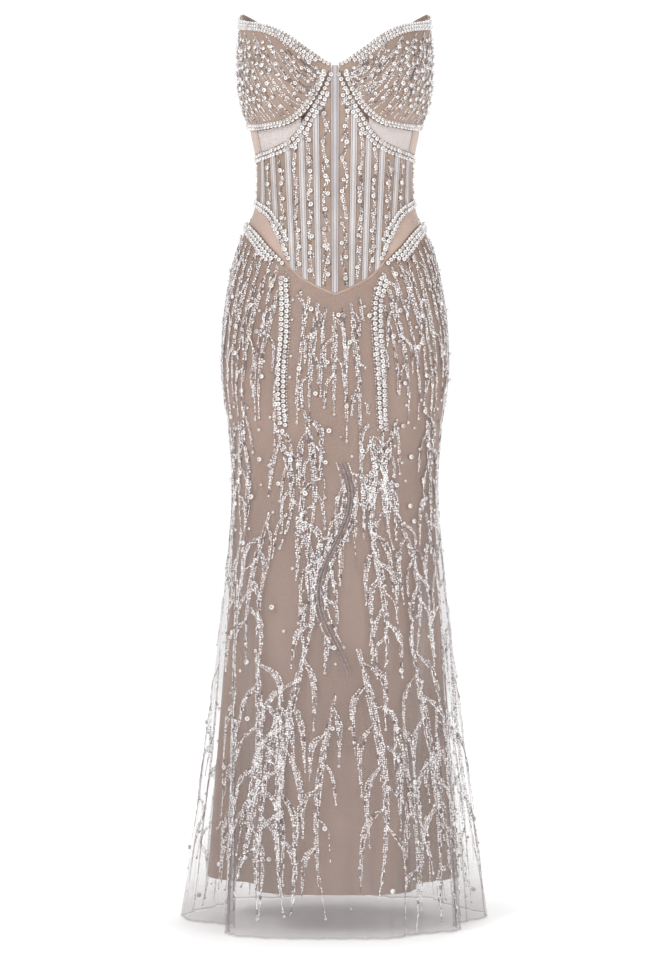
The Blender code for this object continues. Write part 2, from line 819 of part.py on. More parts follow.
def build_zip(collection, tape_look, metal_look):
    top = neck_edge(180.0) - 0.001
    heights = [ZIP_END_HEIGHT + (top - ZIP_END_HEIGHT) * i / 16 for i in range(17)]
    inside, outside = [], []
    for height in heights:
        back = smooth_value(SECTIONS, height, 3)
        half = ZIP_WIDTH / 2
        inside.append([Vector((x, back, height)) for x in (half, 0.0, -half)])
        outside.append([Vector((x, back + ZIP_CLOTH, height)) for x in (half, 0.0, -half)])
    wall("zip_coil", collection, tape_look, inside, outside)

    height = top - SLIDER_BELOW_TOP
    back, lean = zip_frame(height)
    under = back + CUP_CLOTH + 0.0005
    slider_at = Vector((0.0, under + SLIDER_PLATE / 2, height))
    plate = box("zip_slider", collection, metal_look, (SLIDER_WIDTH, SLIDER_PLATE, SLIDER_LENGTH))
    plate.location = slider_at
    plate.rotation_euler = (-lean, 0.0, 0.0)
    bridge = bridge_shape(collection, metal_look)
    bridge.parent = plate
    bridge.hide_render = True
    bridge.display_type = "WIRE"
    joined = plate.modifiers.new("bridge", "BOOLEAN")
    joined.operation = "UNION"
    joined.object = bridge

    pull = pull_shape(collection, metal_look)
    pull.parent = plate


def box(name, collection, look, size):
    bpy.ops.mesh.primitive_cube_add(size=1.0)
    made = bpy.context.object
    made.name = name
    made.data.transform(Matrix.Diagonal((*size, 1.0)))
    made.data.materials.append(look)
    for holder in list(made.users_collection):
        holder.objects.unlink(made)
    collection.objects.link(made)
    bevel = made.modifiers.new("edges", "BEVEL")
    bevel.width = 0.0004
    bevel.segments = 1
    return made


def outline_plate(name, collection, look, loops, thickness):
    """A flat plate with holes, from closed outlines, as a 2D curve."""
    curve = bpy.data.curves.new(name, "CURVE")
    curve.dimensions = "2D"
    curve.fill_mode = "BOTH"
    curve.extrude = thickness / 2
    for loop in loops:
        spline = curve.splines.new("POLY")
        spline.points.add(len(loop) - 1)
        for point, (x, y) in zip(spline.points, loop):
            point.co = (x, y, 0.0, 1.0)
        spline.use_cyclic_u = True
    flat = bpy.data.objects.new(name + "_outline", curve)
    collection.objects.link(flat)
    graph = bpy.context.evaluated_depsgraph_get()
    mesh = bpy.data.meshes.new_from_object(flat.evaluated_get(graph))
    form = bmesh.new()
    form.from_mesh(mesh)
    bmesh.ops.remove_doubles(form, verts=form.verts, dist=0.00001)
    bmesh.ops.recalc_face_normals(form, faces=form.faces)
    form.to_mesh(mesh)
    form.free()
    mesh.name = name
    made = bpy.data.objects.new(name, mesh)
    collection.objects.link(made)
    bpy.data.objects.remove(flat)
    mesh.materials.clear()
    mesh.materials.append(look)
    return made


def bridge_shape(collection, look):
    """The staple on the slider that holds the pull: a bar on two posts, seen from the side."""
    half = BRIDGE_LENGTH / 2
    inner = half - BRIDGE_POST
    outer_loop = ((-half, -0.0006), (half, -0.0006), (half, BRIDGE_HEIGHT), (-half, BRIDGE_HEIGHT))
    bar_low = BRIDGE_HEIGHT - BRIDGE_BAR
    hole = ((-inner, 0.0), (inner, 0.0), (inner, bar_low), (-inner, bar_low))
    made = outline_plate("zip_bridge", collection, look, (outer_loop, hole), BRIDGE_WIDTH)
    made.data.transform(upright_bridge())
    made.location = (0.0, SLIDER_PLATE / 2, 0.0)
    return made


def upright_bridge():
    """Turns a flat outline so that its x runs up the zip and its y runs out of the cloth."""
    return Matrix(((0, 0, -1, 0), (0, 1, 0, 0), (1, 0, 0, 0), (0, 0, 0, 1)))


def pull_shape(collection, look):
    """The pull tab: a drop that hangs from a cross bar under the bridge."""
    half_bar = PULL_BAR / 2
    head, foot = PULL_HEAD_WIDTH / 2, PULL_FOOT_WIDTH / 2
    round_centre = -PULL_LENGTH + foot
    outline = [(-head, half_bar), (head, half_bar)]
    steps = 10
    for i in range(steps + 1):
        turn = math.pi * i / steps
        outline.append((foot * math.cos(turn), round_centre - foot * math.sin(turn)))
    slot = BRIDGE_WIDTH / 2 + 0.0005
    window = ((-slot, -half_bar), (slot, -half_bar), (slot, -PULL_WINDOW), (-slot, -PULL_WINDOW))
    made = outline_plate("zip_pull", collection, look, (outline, window), PULL_BAR)
    made.data.transform(upright_pull())
    made.location = (0.0, SLIDER_PLATE / 2 + (BRIDGE_HEIGHT - BRIDGE_BAR) / 2, 0.0)
    return made


def upright_pull():
    """Turns a flat outline so that it hangs, its thickness running out of the cloth."""
    return Matrix(((1, 0, 0, 0), (0, 0, -1, 0), (0, 1, 0, 0), (0, 0, 0, 1)))


def main():
    clear_scene()
    dress = make_collection("maxi_dress")
    nude = material("nude_satin", NUDE_SATIN, 0.55)
    mesh_look = material("nude_mesh", NUDE_MESH, 0.7)
    net = material("ivory_net", IVORY_NET, 0.7)
    satin = material("silver_satin", SILVER_SATIN, 0.35)
    pearl = material("pearl", PEARL, 0.25)
    tape = material("zip_tape", ZIP_TAPE, 0.7)
    metal = material("zip_metal", ZIP_METAL, 0.3, 1.0)
    build_cups(dress, nude)
    build_corset(dress, nude, satin)
    build_side_panels(dress, mesh_look, nude)
    build_back(dress, mesh_look, nude)
    build_skirts(dress, nude, net)
    build_bands(dress, pearl)
    build_zip(dress, tape, metal)


main()
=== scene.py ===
"""A strapless maxi dress with a boned corset bodice and a beaded net skirt, dressed over its frame."""

import json
import math

import bmesh
import bpy
import numpy as np
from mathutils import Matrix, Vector
from mathutils.bvhtree import BVHTree

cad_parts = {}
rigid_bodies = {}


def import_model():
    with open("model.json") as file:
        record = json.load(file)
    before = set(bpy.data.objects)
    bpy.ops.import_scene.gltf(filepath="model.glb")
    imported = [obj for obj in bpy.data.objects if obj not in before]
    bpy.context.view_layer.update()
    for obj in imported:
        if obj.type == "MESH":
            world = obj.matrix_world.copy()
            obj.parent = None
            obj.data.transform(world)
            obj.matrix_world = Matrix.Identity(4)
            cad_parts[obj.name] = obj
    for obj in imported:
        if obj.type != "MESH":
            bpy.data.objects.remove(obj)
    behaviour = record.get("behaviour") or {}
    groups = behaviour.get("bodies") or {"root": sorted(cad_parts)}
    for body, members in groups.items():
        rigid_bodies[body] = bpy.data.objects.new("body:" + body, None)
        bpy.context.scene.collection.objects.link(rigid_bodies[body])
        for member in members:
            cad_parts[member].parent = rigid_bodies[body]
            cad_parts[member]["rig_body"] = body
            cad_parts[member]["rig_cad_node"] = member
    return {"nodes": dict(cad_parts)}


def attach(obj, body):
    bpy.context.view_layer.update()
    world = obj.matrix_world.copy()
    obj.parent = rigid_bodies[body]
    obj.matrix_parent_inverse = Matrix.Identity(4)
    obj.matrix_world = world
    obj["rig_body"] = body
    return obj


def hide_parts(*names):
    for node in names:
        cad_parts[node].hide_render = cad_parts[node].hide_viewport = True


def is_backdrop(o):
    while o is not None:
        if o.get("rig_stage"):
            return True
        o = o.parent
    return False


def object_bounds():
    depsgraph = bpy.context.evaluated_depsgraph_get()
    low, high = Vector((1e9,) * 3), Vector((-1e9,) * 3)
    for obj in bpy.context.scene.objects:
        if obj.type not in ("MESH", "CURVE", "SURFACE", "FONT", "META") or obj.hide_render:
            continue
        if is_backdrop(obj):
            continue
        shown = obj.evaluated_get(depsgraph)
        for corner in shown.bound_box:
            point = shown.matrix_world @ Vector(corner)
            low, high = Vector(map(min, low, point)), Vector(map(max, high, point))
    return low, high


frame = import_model()
cad_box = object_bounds()

# Studio: the camera stands level with the knees, straight in front of the dress.
# The floor is a pale sheet under the hem that glows with its own emission, dimmed near the dress as a painted
# shadow, and large soft lamps light the front and sides.

CAMERA_AWAY = 4.4
CAMERA_HEIGHT = -0.442
WHITE = (1.0, 1.0, 1.0, 1.0)


def placed(name, data):
    """Puts a mesh, a lamp or the camera into the scene."""
    made = bpy.data.objects.new(name, data)
    bpy.context.scene.collection.objects.link(made)
    return made


camera = placed("camera", bpy.data.cameras.new("camera"))
camera.location = (0.0, -CAMERA_AWAY, CAMERA_HEIGHT)
camera.rotation_euler = (math.radians(90), 0.0, 0.0)
camera.data.sensor_width = 36.0
camera.data.lens = 112.55
camera.data.clip_end = 100.0
bpy.context.scene.camera = camera
bpy.context.scene.view_settings.view_transform = "Standard"
bpy.context.scene.view_settings.look = "None"


def material_of(name):
    """A new material: its nodes, its links and its Principled shader."""
    made = bpy.data.materials.new(name)
    made.use_nodes = True
    nodes, links = made.node_tree.nodes, made.node_tree.links
    return made, nodes, links, nodes["Principled BSDF"]


def set_values(node, **values):
    """Sets a node's sockets by name, with _ for a space."""
    for socket, value in values.items():
        node.inputs[socket.replace("_", " ")].default_value = value
    return node


def node_of(nodes, kind, **values):
    """A new shader node with these values in its sockets."""
    return set_values(nodes.new("ShaderNode" + kind), **values)


def ramp_of(nodes, *tones):
    """A colour ramp through two tones or more, each a place on the ramp and its colour."""
    ramp = nodes.new("ShaderNodeValToRGB")
    stops = ramp.color_ramp.elements
    for stop, (position, colour) in ((stops[0], tones[0]), (stops[1], tones[-1])):
        stop.position = position
        stop.color = (*colour, 1.0)
    for position, colour in tones[1:-1]:
        stops.new(position).color = (*colour, 1.0)
    return ramp


def floor_sheet():
    """The floor, lit by its own emission from a little way out from the hem; the dimmer emission under the
    dress is a painted shadow.
    """
    made, nodes, links, shader = material_of("glowing floor with painted shadow")
    set_values(shader, Roughness=0.9, Specular_IOR_Level=0.1, Emission_Strength=0.47)
    place = nodes.new("ShaderNodeTexCoord")
    away = nodes.new("ShaderNodeVectorMath")
    away.operation = "LENGTH"
    # Painted shadow: the floor's own emission is 0.30 within about 16 cm of the middle under the dress, and
    # rises to full about half a metre out.
    glow_with_painted_shadow = node_of(nodes, "MapRange", From_Min=1.10, From_Max=1.20, To_Min=0.30, To_Max=1.0)
    links.new(place.outputs["Object"], away.inputs[0])
    links.new(away.outputs["Value"], glow_with_painted_shadow.inputs["Value"])
    links.new(glow_with_painted_shadow.outputs["Result"], shader.inputs["Emission Color"])
    grain = node_of(nodes, "TexNoise", Scale=3.0)
    tone = ramp_of(nodes, (0.0, (0.90, 0.90, 0.90)), (1.0, (0.94, 0.94, 0.94)))
    links.new(grain.outputs["Fac"], tone.inputs["Fac"])
    links.new(tone.outputs["Color"], shader.inputs["Base Color"])
    mesh = bpy.data.meshes.new("floor")
    far = 30.0
    low = -1.0885
    corners = [(-far, -far, low), (far, -far, low), (far, far, low), (-far, far, low)]
    mesh.from_pydata(corners, [], [(0, 1, 2, 3)])
    mesh.materials.append(made)
    placed("floor", mesh)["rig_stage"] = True


def soft_lamp(name, place, towards, size, power):
    """A large rectangular lamp at a place, turned towards another. size is its width and height."""
    lamp = placed(name, bpy.data.lights.new(name, "AREA"))
    lamp.data.shape = "RECTANGLE"
    lamp.data.size, lamp.data.size_y = size
    lamp.data.energy = power
    lamp.location = place
    lamp.rotation_euler = (Vector(towards) - Vector(place)).to_track_quat("-Z", "Y").to_euler()


floor_sheet()
soft_lamp("front left lamp", (-2.2, -3.2, 1.9), (0.0, 0.0, -0.3), (1.2, 1.8), 82.0)
soft_lamp("front right lamp", (2.6, -2.6, 0.6), (0.0, 0.0, -0.5), (1.2, 2.0), 34.0)
soft_lamp("back lamp", (0.6, 3.4, 1.8), (0.0, 0.0, -0.4), (2.0, 2.0), 60.0)

world = bpy.data.worlds.new("white room")
bpy.context.scene.world = world
world.use_nodes = True
sky_nodes, sky_links = world.node_tree.nodes, world.node_tree.links
lit_sky = set_values(sky_nodes["Background"], Color=WHITE, Strength=0.60)
seen_sky = node_of(sky_nodes, "Background", Color=WHITE, Strength=1.05)
which_sky = sky_nodes.new("ShaderNodeMixShader")
seen_by = sky_nodes.new("ShaderNodeLightPath")
sky_links.new(seen_by.outputs["Is Camera Ray"], which_sky.inputs["Fac"])
sky_links.new(lit_sky.outputs[0], which_sky.inputs[1])
sky_links.new(seen_sky.outputs[0], which_sky.inputs[2])
sky_links.new(which_sky.outputs[0], sky_nodes["World Output"].inputs["Surface"])

# Satin lining: three panels of nude satin, seamed at the sides and the centre back.
# It fits the hips closely, falls in folds from the knee and ends a hand's width above the floor.
# It is sewn to the lower edge of the bodice, under the net.

HEM_HEIGHT = -1.087
LINING_HEM_HEIGHT = -1.030
KNEE_HEIGHT = -0.470
SEAM_GAP = 0.0003
LINING_BELOW_SEAM = 0.0019
NET_BELOW_SEAM = 0.0036
LINING_CLOTH = 0.0012
ZIP_WIDTH = 0.0040
ZIP_END_HEIGHT = -0.244
FOLD_STEP = 0.037

SECTIONS = (
    # height, half width, depth to the front, depth to the back
    (0.255, 0.1365, 0.0985, 0.0960),
    (0.230, 0.1345, 0.1000, 0.0980),
    (0.170, 0.1270, 0.1030, 0.1000),
    (0.120, 0.1240, 0.1000, 0.0980),
    (0.070, 0.1215, 0.0950, 0.0930),
    (0.032, 0.1145, 0.0900, 0.0850),
    (0.000, 0.1125, 0.0880, 0.0800),
    (-0.035, 0.1145, 0.0890, 0.0830),
    (-0.056, 0.1200, 0.0910, 0.0890),
    (-0.074, 0.1290, 0.0940, 0.0970),
    (-0.120, 0.1450, 0.1010, 0.1180),
    (-0.180, 0.1570, 0.1080, 0.1330),
    (-0.238, 0.1630, 0.1120, 0.1370),
    (-0.297, 0.1630, 0.1130, 0.1310),
    (-0.356, 0.1550, 0.1110, 0.1200),
    (-0.420, 0.1475, 0.1080, 0.1110),
    (-0.470, 0.1460, 0.1070, 0.1080),
)
HIP_SEAM = (
    # angle from the centre front, height
    (0.0, -0.1765),
    (6.5, -0.1695),
    (14.9, -0.1580),
    (20.0, -0.1500),
    (24.5, -0.1395),
    (30.2, -0.1250),
    (39.9, -0.1070),
    (51.4, -0.0880),
    (63.0, -0.0756),
    (76.6, -0.0665),
    (90.0, -0.0600),
    (120.0, -0.0770),
    (150.0, -0.1050),
    (180.0, -0.1250),
)
FOLD_LINES = (
    # knee angle, net hem x, net hem y, lining hem x, lining hem y
    (-166.0, -0.052, 0.226, -0.044, 0.188),
    (-152.0, -0.088, 0.198, -0.075, 0.168),
    (-138.0, -0.142, 0.196, -0.118, 0.160),
    (-126.0, -0.158, 0.150, -0.134, 0.126),
    (-113.0, -0.182, 0.100, -0.152, 0.090),
    (-99.0, -0.219, 0.026, -0.184, 0.036),
    (-91.0, -0.210, -0.034, -0.180, 0.006),
    (-86.0, -0.172, -0.058, -0.156, -0.022),
    (-80.0, -0.142, -0.084, -0.124, -0.046),
    (-71.0, -0.151, -0.130, -0.110, -0.086),
    (-58.0, -0.143, -0.174, -0.112, -0.132),
    (-38.0, -0.096, -0.198, -0.078, -0.170),
    (-18.0, -0.045, -0.205, -0.040, -0.177),
    (0.0, 0.000, -0.206, 0.000, -0.178),
    (18.0, 0.045, -0.206, 0.040, -0.178),
    (35.0, 0.082, -0.202, 0.076, -0.171),
    (48.0, 0.106, -0.172, 0.104, -0.146),
    (60.0, 0.142, -0.151, 0.115, -0.106),
    (71.0, 0.175, -0.128, 0.114, -0.066),
    (79.0, 0.170, -0.078, 0.138, -0.036),
    (86.0, 0.192, -0.038, 0.164, -0.014),
    (93.0, 0.218, -0.002, 0.180, 0.014),
    (101.0, 0.216, 0.044, 0.180, 0.044),
    (114.0, 0.180, 0.102, 0.152, 0.092),
    (127.0, 0.160, 0.150, 0.134, 0.128),
    (139.0, 0.140, 0.198, 0.116, 0.162),
    (153.0, 0.086, 0.200, 0.073, 0.170),
    (166.0, 0.052, 0.228, 0.044, 0.190),
    (180.0, 0.000, 0.240, 0.000, 0.196),
)
# The skirt's seams, as places in the fold table. The back seam is its last row, and one row before its first.
LEFT_SEAM = 6.0
RIGHT_SEAM = 21.0
BACK_SEAM = 28.0
BACK_SEAM_AGAIN = BACK_SEAM - len(FOLD_LINES)


def curve_through(rows, column=1):
    """Reads a smooth curve through a table's rows, at values of its first column."""
    rows = np.array(sorted(rows), float)
    known, value = rows[:, 0], rows[:, column]
    last = len(known) - 1
    low = np.maximum(np.arange(last + 1) - 1, 0)
    high = np.minimum(np.arange(last + 1) + 1, last)
    slope = (value[high] - value[low]) / (known[high] - known[low])

    def read(at):
        at = np.clip(at, known[0], known[-1])
        i = np.clip(np.searchsorted(known, at, side="right") - 1, 0, last - 1)
        span = known[i + 1] - known[i]
        t = (at - known[i]) / span
        rise = value[i] * (2 * t**3 - 3 * t**2 + 1) + value[i + 1] * (3 * t**2 - 2 * t**3)
        return rise + slope[i] * span * (t**3 - 2 * t**2 + t) + slope[i + 1] * span * (t**3 - t**2)

    return read


half_width = curve_through(SECTIONS, 1)
front_depth = curve_through(SECTIONS, 2)
back_depth = curve_through(SECTIONS, 3)
hip_seam_at = curve_through(HIP_SEAM)


def hip_seam(angle):
    return hip_seam_at(np.abs(angle))


def unit(vectors):
    """The same headings, each one metre long."""
    return vectors / np.maximum(np.linalg.norm(vectors, axis=-1, keepdims=True), 1e-12)


def oval_places(angle, height):
    """Points of the body's oval sections, and the level way out of each."""
    angle, height = np.broadcast_arrays(np.asarray(angle, float), np.asarray(height, float))
    turn = np.radians(angle)
    half = half_width(height)
    depth = np.where(np.cos(turn) >= 0, front_depth(height), back_depth(height))
    points = np.stack([half * np.sin(turn), -depth * np.cos(turn), height], -1)
    way_out = unit(np.stack([np.sin(turn) / half, -np.cos(turn) / depth, 0 * turn], -1))
    return points, way_out


def between(a, b, c, d, t):
    """A smooth way from b to c, with a before them and d after."""
    bend = 2 * a - 5 * b + 4 * c - d
    twist = 3 * b - a - 3 * c + d
    return 0.5 * (2 * b + (c - a) * t + bend * t**2 + twist * t**3)


def fold_places(position, net):
    """Knee angle and hem point between the rows of the fold table."""
    table = np.array(FOLD_LINES)[:, [0, 1, 2] if net else [0, 3, 4]]
    count = len(table)
    index = np.floor(position).astype(int)
    t = (position - index)[..., None]
    rows = []
    for step in (-1, 0, 1, 2):
        at = index + step
        row = table[at % count].copy()
        row[..., 0] += 360.0 * (at // count)
        rows.append(row)
    return between(*rows, t)


def skirt_places(position, share, net):
    """Points of the skirt: share is -1 at the hip seam, 0 at the knee and 1 at the hem."""
    position, share = np.broadcast_arrays(np.asarray(position, float), np.asarray(share, float))
    line = fold_places(position, net)
    knee_angle = line[..., 0]
    top = hip_seam((knee_angle + 180.0) % 360.0 - 180.0) - (NET_BELOW_SEAM if net else LINING_BELOW_SEAM)
    fitted = oval_places(knee_angle, KNEE_HEIGHT + (top - KNEE_HEIGHT) * np.clip(-share, 0, 1))[0]
    down = np.clip(share, 0, 1)
    spread = (down - 0.04 * np.sin(np.pi * down) * (1 - down))[..., None]
    flared = fitted.copy()
    flared[..., :2] = fitted[..., :2] * (1 - spread) + line[..., 1:] * spread
    flared[..., 2] = KNEE_HEIGHT + ((HEM_HEIGHT if net else LINING_HEM_HEIGHT) - KNEE_HEIGHT) * down
    return np.where((share <= 0)[..., None], fitted, flared)


def level_out(points):
    """The level way out of a grid of points, from how its rows run round the dress."""
    along = np.gradient(points, axis=1)
    return unit(np.stack([along[..., 1], -along[..., 0], 0 * along[..., 0]], -1))


def finished(name, mesh, look, weave):
    """Turns a closed mesh's faces out, lays the weave on it, in metres, and puts it into the scene."""
    form = bmesh.new()
    form.from_mesh(mesh)
    if form.calc_volume(signed=True) < 0:
        bmesh.ops.reverse_faces(form, faces=form.faces)
    form.to_mesh(mesh)
    form.free()
    corners = np.empty(len(mesh.loops), np.int32)
    mesh.loops.foreach_get("vertex_index", corners)
    mesh.uv_layers.new(name="weave").data.foreach_set("uv", weave[corners].astype(np.float32).ravel())
    mesh.materials.append(look)
    mesh.shade_smooth()
    return placed(name, mesh)


def cloth_shell(name, inside, outside, look, across):
    """A closed thin wall of cloth between two grids. across is each column's place in the weave."""
    rows, columns = inside.shape[:2]
    skin = rows * columns
    at = np.arange(skin).reshape(rows, columns)
    quad = np.stack([at[:-1, :-1], at[1:, :-1], at[1:, 1:], at[:-1, 1:]], -1).reshape(-1, 4)
    faces = [quad, quad[:, ::-1] + skin]
    for edge in (at[0], at[-1][::-1], at[:, 0][::-1], at[:, -1]):
        faces.append(np.stack([edge[:-1], edge[1:], edge[1:] + skin, edge[:-1] + skin], -1))
    faces = np.concatenate(faces)
    points = np.concatenate([inside.reshape(-1, 3), outside.reshape(-1, 3)])
    mesh = bpy.data.meshes.new(name)
    mesh.from_pydata(points.tolist(), [], faces.tolist())
    weave = np.stack([np.broadcast_to(across, (rows, columns)), inside[..., 2]], -1).reshape(-1, 2)
    made = finished(name, mesh, look, np.concatenate([weave, weave]))
    mesh.set_sharp_from_angle(angle=math.radians(50))
    return made


def on_dress(piece, slot, *nodes):
    """Fixes a piece to the dress and hides the solids that it stands in for. slot is not used."""
    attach(piece, "dress")
    if nodes:
        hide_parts(*nodes)
    return piece


def group_of(name, inputs, outputs):
    """A new shader node group with named inputs and outputs."""
    made = bpy.data.node_groups.new(name, "ShaderNodeTree")
    for title, value in inputs:
        socket = made.interface.new_socket(title, in_out="INPUT", socket_type="NodeSocketFloat")
        socket.default_value = value
    for title in outputs:
        made.interface.new_socket(title, in_out="OUTPUT", socket_type="NodeSocketFloat")
    return made, made.nodes.new("NodeGroupInput"), made.nodes.new("NodeGroupOutput")


def sum_node(tree, kind, first, second=None):
    """A Math node fed by sockets or plain numbers."""
    node = tree.nodes.new("ShaderNodeMath")
    node.operation = kind
    for socket, value in zip(node.inputs, (first, second)):
        if value is None:
            continue
        if isinstance(value, (int, float)):
            socket.default_value = value
        else:
            tree.links.new(value, socket)
    return node.outputs[0]


def weave_places(tree):
    """A place on the cloth in metres, split into across and up."""
    weave = tree.nodes.new("ShaderNodeUVMap")
    weave.uv_map = "weave"
    split = tree.nodes.new("ShaderNodeSeparateXYZ")
    tree.links.new(weave.outputs[0], split.inputs[0])
    return split


def build_thread_grain():
    """Crossing threads: a fine height and a soft change of shade, in threads for each metre."""
    tree, given, out = group_of(
        "thread grain", (("Warp", 900.0), ("Weft", 900.0), ("Cloudiness", 6.0)), ("Height", "Shade")
    )
    split = weave_places(tree)
    waves = []
    for axis, count in (("X", "Warp"), ("Y", "Weft")):
        turn = sum_node(tree, "MULTIPLY", split.outputs[axis], given.outputs[count])
        waves.append(sum_node(tree, "SINE", sum_node(tree, "MULTIPLY", turn, 2 * math.pi)))
    cross = sum_node(tree, "MULTIPLY", waves[0], waves[1])
    height = sum_node(tree, "ADD", sum_node(tree, "MULTIPLY", cross, 0.5), 0.5)
    cloud = node_of(tree.nodes, "TexNoise", Detail=4.0)
    place = tree.nodes.new("ShaderNodeTexCoord")
    tree.links.new(place.outputs["Object"], cloud.inputs["Vector"])
    tree.links.new(given.outputs["Cloudiness"], cloud.inputs["Scale"])
    tree.links.new(height, out.inputs["Height"])
    tree.links.new(cloud.outputs["Fac"], out.inputs["Shade"])
    return tree


thread_grain = build_thread_grain()


def use_of(nodes, tree, **values):
    """A node that uses a shader node group, with these values."""
    group = nodes.new("ShaderNodeGroup")
    group.node_tree = tree
    return set_values(group, **values)


def cloth_material(name, dark, light, roughness, warp, weft, cloudiness, sheen=0.0, bump=0.25, groove_shade_colour=None):
    """A woven cloth: its shade drifts slowly, and its relief and roughness follow the threads.

    The last argument, if given, is a darker colour painted along the grooves and edges of a casing, as
    painted shade of those grooves.
    """
    made, nodes, links, shader = material_of(name)
    set_values(shader, Sheen_Weight=sheen, Sheen_Roughness=0.4, Specular_IOR_Level=0.35)
    grain = use_of(nodes, thread_grain, Warp=warp, Weft=weft, Cloudiness=cloudiness)
    tone = ramp_of(nodes, (0.30, dark), (0.70, light))
    links.new(grain.outputs["Shade"], tone.inputs["Fac"])
    links.new(tone.outputs["Color"], shader.inputs["Base Color"])
    # Painted shade: the colour is mixed towards a darker one along the grooves and edges of the casings, by
    # each point's groove weight.
    if groove_shade_colour:
        seam = nodes.new("ShaderNodeAttribute")
        seam.attribute_name = "groove_shade"
        sewn = nodes.new("ShaderNodeMix")
        sewn.data_type = "RGBA"
        sewn.inputs["B"].default_value = (*groove_shade_colour, 1.0)
        links.new(seam.outputs["Fac"], sewn.inputs["Factor"])
        links.new(tone.outputs["Color"], sewn.inputs["A"])
        links.new(sewn.outputs["Result"], shader.inputs["Base Color"])
    relief = node_of(nodes, "Bump", Strength=bump, Distance=0.0003)
    links.new(grain.outputs["Height"], relief.inputs["Height"])
    links.new(relief.outputs["Normal"], shader.inputs["Normal"])
    rough = node_of(nodes, "MapRange", To_Min=roughness - 0.08, To_Max=roughness + 0.08)
    links.new(grain.outputs["Height"], rough.inputs["Value"])
    links.new(rough.outputs["Result"], shader.inputs["Roughness"])
    return made


lining_satin = cloth_material(
    "nude satin", (0.265, 0.178, 0.138), (0.330, 0.228, 0.182), 0.46, 1300.0, 500.0, 9.0, 0.15, 0.2
)


def eased_knee(grid, passes=10):
    """Rounds the bend where the fitted hips turn into the flare."""
    near = np.exp(-(((grid[1:-1, :, 2] - KNEE_HEIGHT) / 0.06) ** 2))[..., None]
    for _ in range(passes):
        middle = 0.5 * (grid[:-2] + grid[2:])
        grid[1:-1, :, :2] += (near * (middle - grid[1:-1]))[..., :2] * 0.8
    return grid


def skirt_shell(name, look, start, end, net, lift, thickness, ripple):
    """A panel of the skirt between two places of the fold table, with small folds between the main ones."""
    steps = round((end - start) * 6)
    position = np.linspace(start, end, steps + 1)[None, :]
    fitted = -np.linspace(1.0, 0.0, 26)[:-1]
    flare = np.linspace(0.0, 1.0, 40)
    share = np.concatenate([fitted, flare])[:, None]
    grid = eased_knee(skirt_places(position, share, net))
    way_out = level_out(grid)
    down = np.clip(share, 0, 1)
    turn = 2 * math.pi * position
    fine = np.sin(turn * 1.37 + 1.1) + 0.6 * np.sin(turn * 2.61 + 4 * down)
    seams = np.minimum(1.0, np.minimum(position - start, end - position) / 0.8)
    grid = grid + way_out * (ripple * fine * down**1.6 * seams)[..., None]
    at_back = (np.abs(position - BACK_SEAM) < 0.01) | (np.abs(position - BACK_SEAM_AGAIN) < 0.01)
    room = np.where(at_back & (grid[..., 2] > ZIP_END_HEIGHT - 0.010), ZIP_WIDTH / 2 + SEAM_GAP, SEAM_GAP / 2)
    side = np.zeros(steps + 1)
    side[0], side[-1] = 1.0, -1.0
    along = np.stack([-way_out[..., 1], way_out[..., 0], 0 * way_out[..., 0]], -1)
    grid = grid + along * (room * side)[..., None]
    inside, outside = grid + way_out * lift, grid + way_out * (lift + thickness)
    return cloth_shell(name, inside, outside, look, position[0] * FOLD_STEP)


SKIRT_SPANS = (
    # panel, start and end in the fold table
    ("back_left", BACK_SEAM_AGAIN, LEFT_SEAM),
    ("front", LEFT_SEAM, RIGHT_SEAM),
    ("back_right", RIGHT_SEAM, BACK_SEAM),
)
LINING_RIPPLE = 0.0016
for part, start, end in SKIRT_SPANS:
    panel = skirt_shell(
        f"lining_panel_{part}", lining_satin, start, end, False, 0.0, LINING_CLOTH, LINING_RIPPLE
    )
    on_dress(panel, "nude_satin", f"lining_{part}")
    flat, area = ((0.62, 0.98), 0.44) if part == "front" else ((0.36, 0.98), 0.222)

# Net skirt: fine ivory net over the lining, cut in the same three panels but wider and longer.
# It is sewn into the same hip seam, and its folds carry the beadwork down to the raw hem.

NET_CLOTH = 0.0010
NET_STAND_OFF = 0.0008
NET_RIPPLE = 0.0030


def build_knotted_net():
    """A mask of crossing threads, 1 on a thread and 0 in a hole, in holes for each metre."""
    tree, given, out = group_of("knotted net", (("Holes", 700.0), ("Thread", 0.30)), ("Threads",))
    split = weave_places(tree)
    found = None
    for kind in ("ADD", "SUBTRACT"):
        lean = sum_node(tree, kind, split.outputs["X"], split.outputs["Y"])
        turn = sum_node(tree, "MULTIPLY", sum_node(tree, "MULTIPLY", lean, given.outputs["Holes"]), math.pi)
        near = sum_node(tree, "ABSOLUTE", sum_node(tree, "SINE", turn))
        step = sum_node(tree, "DIVIDE", near, given.outputs["Thread"])
        thread = sum_node(tree, "SUBTRACT", 1.0, sum_node(tree, "MINIMUM", step, 1.0))
        found = thread if found is None else sum_node(tree, "MAXIMUM", found, thread)
    tree.links.new(found, out.inputs["Threads"])
    return tree


knotted_net = build_knotted_net()


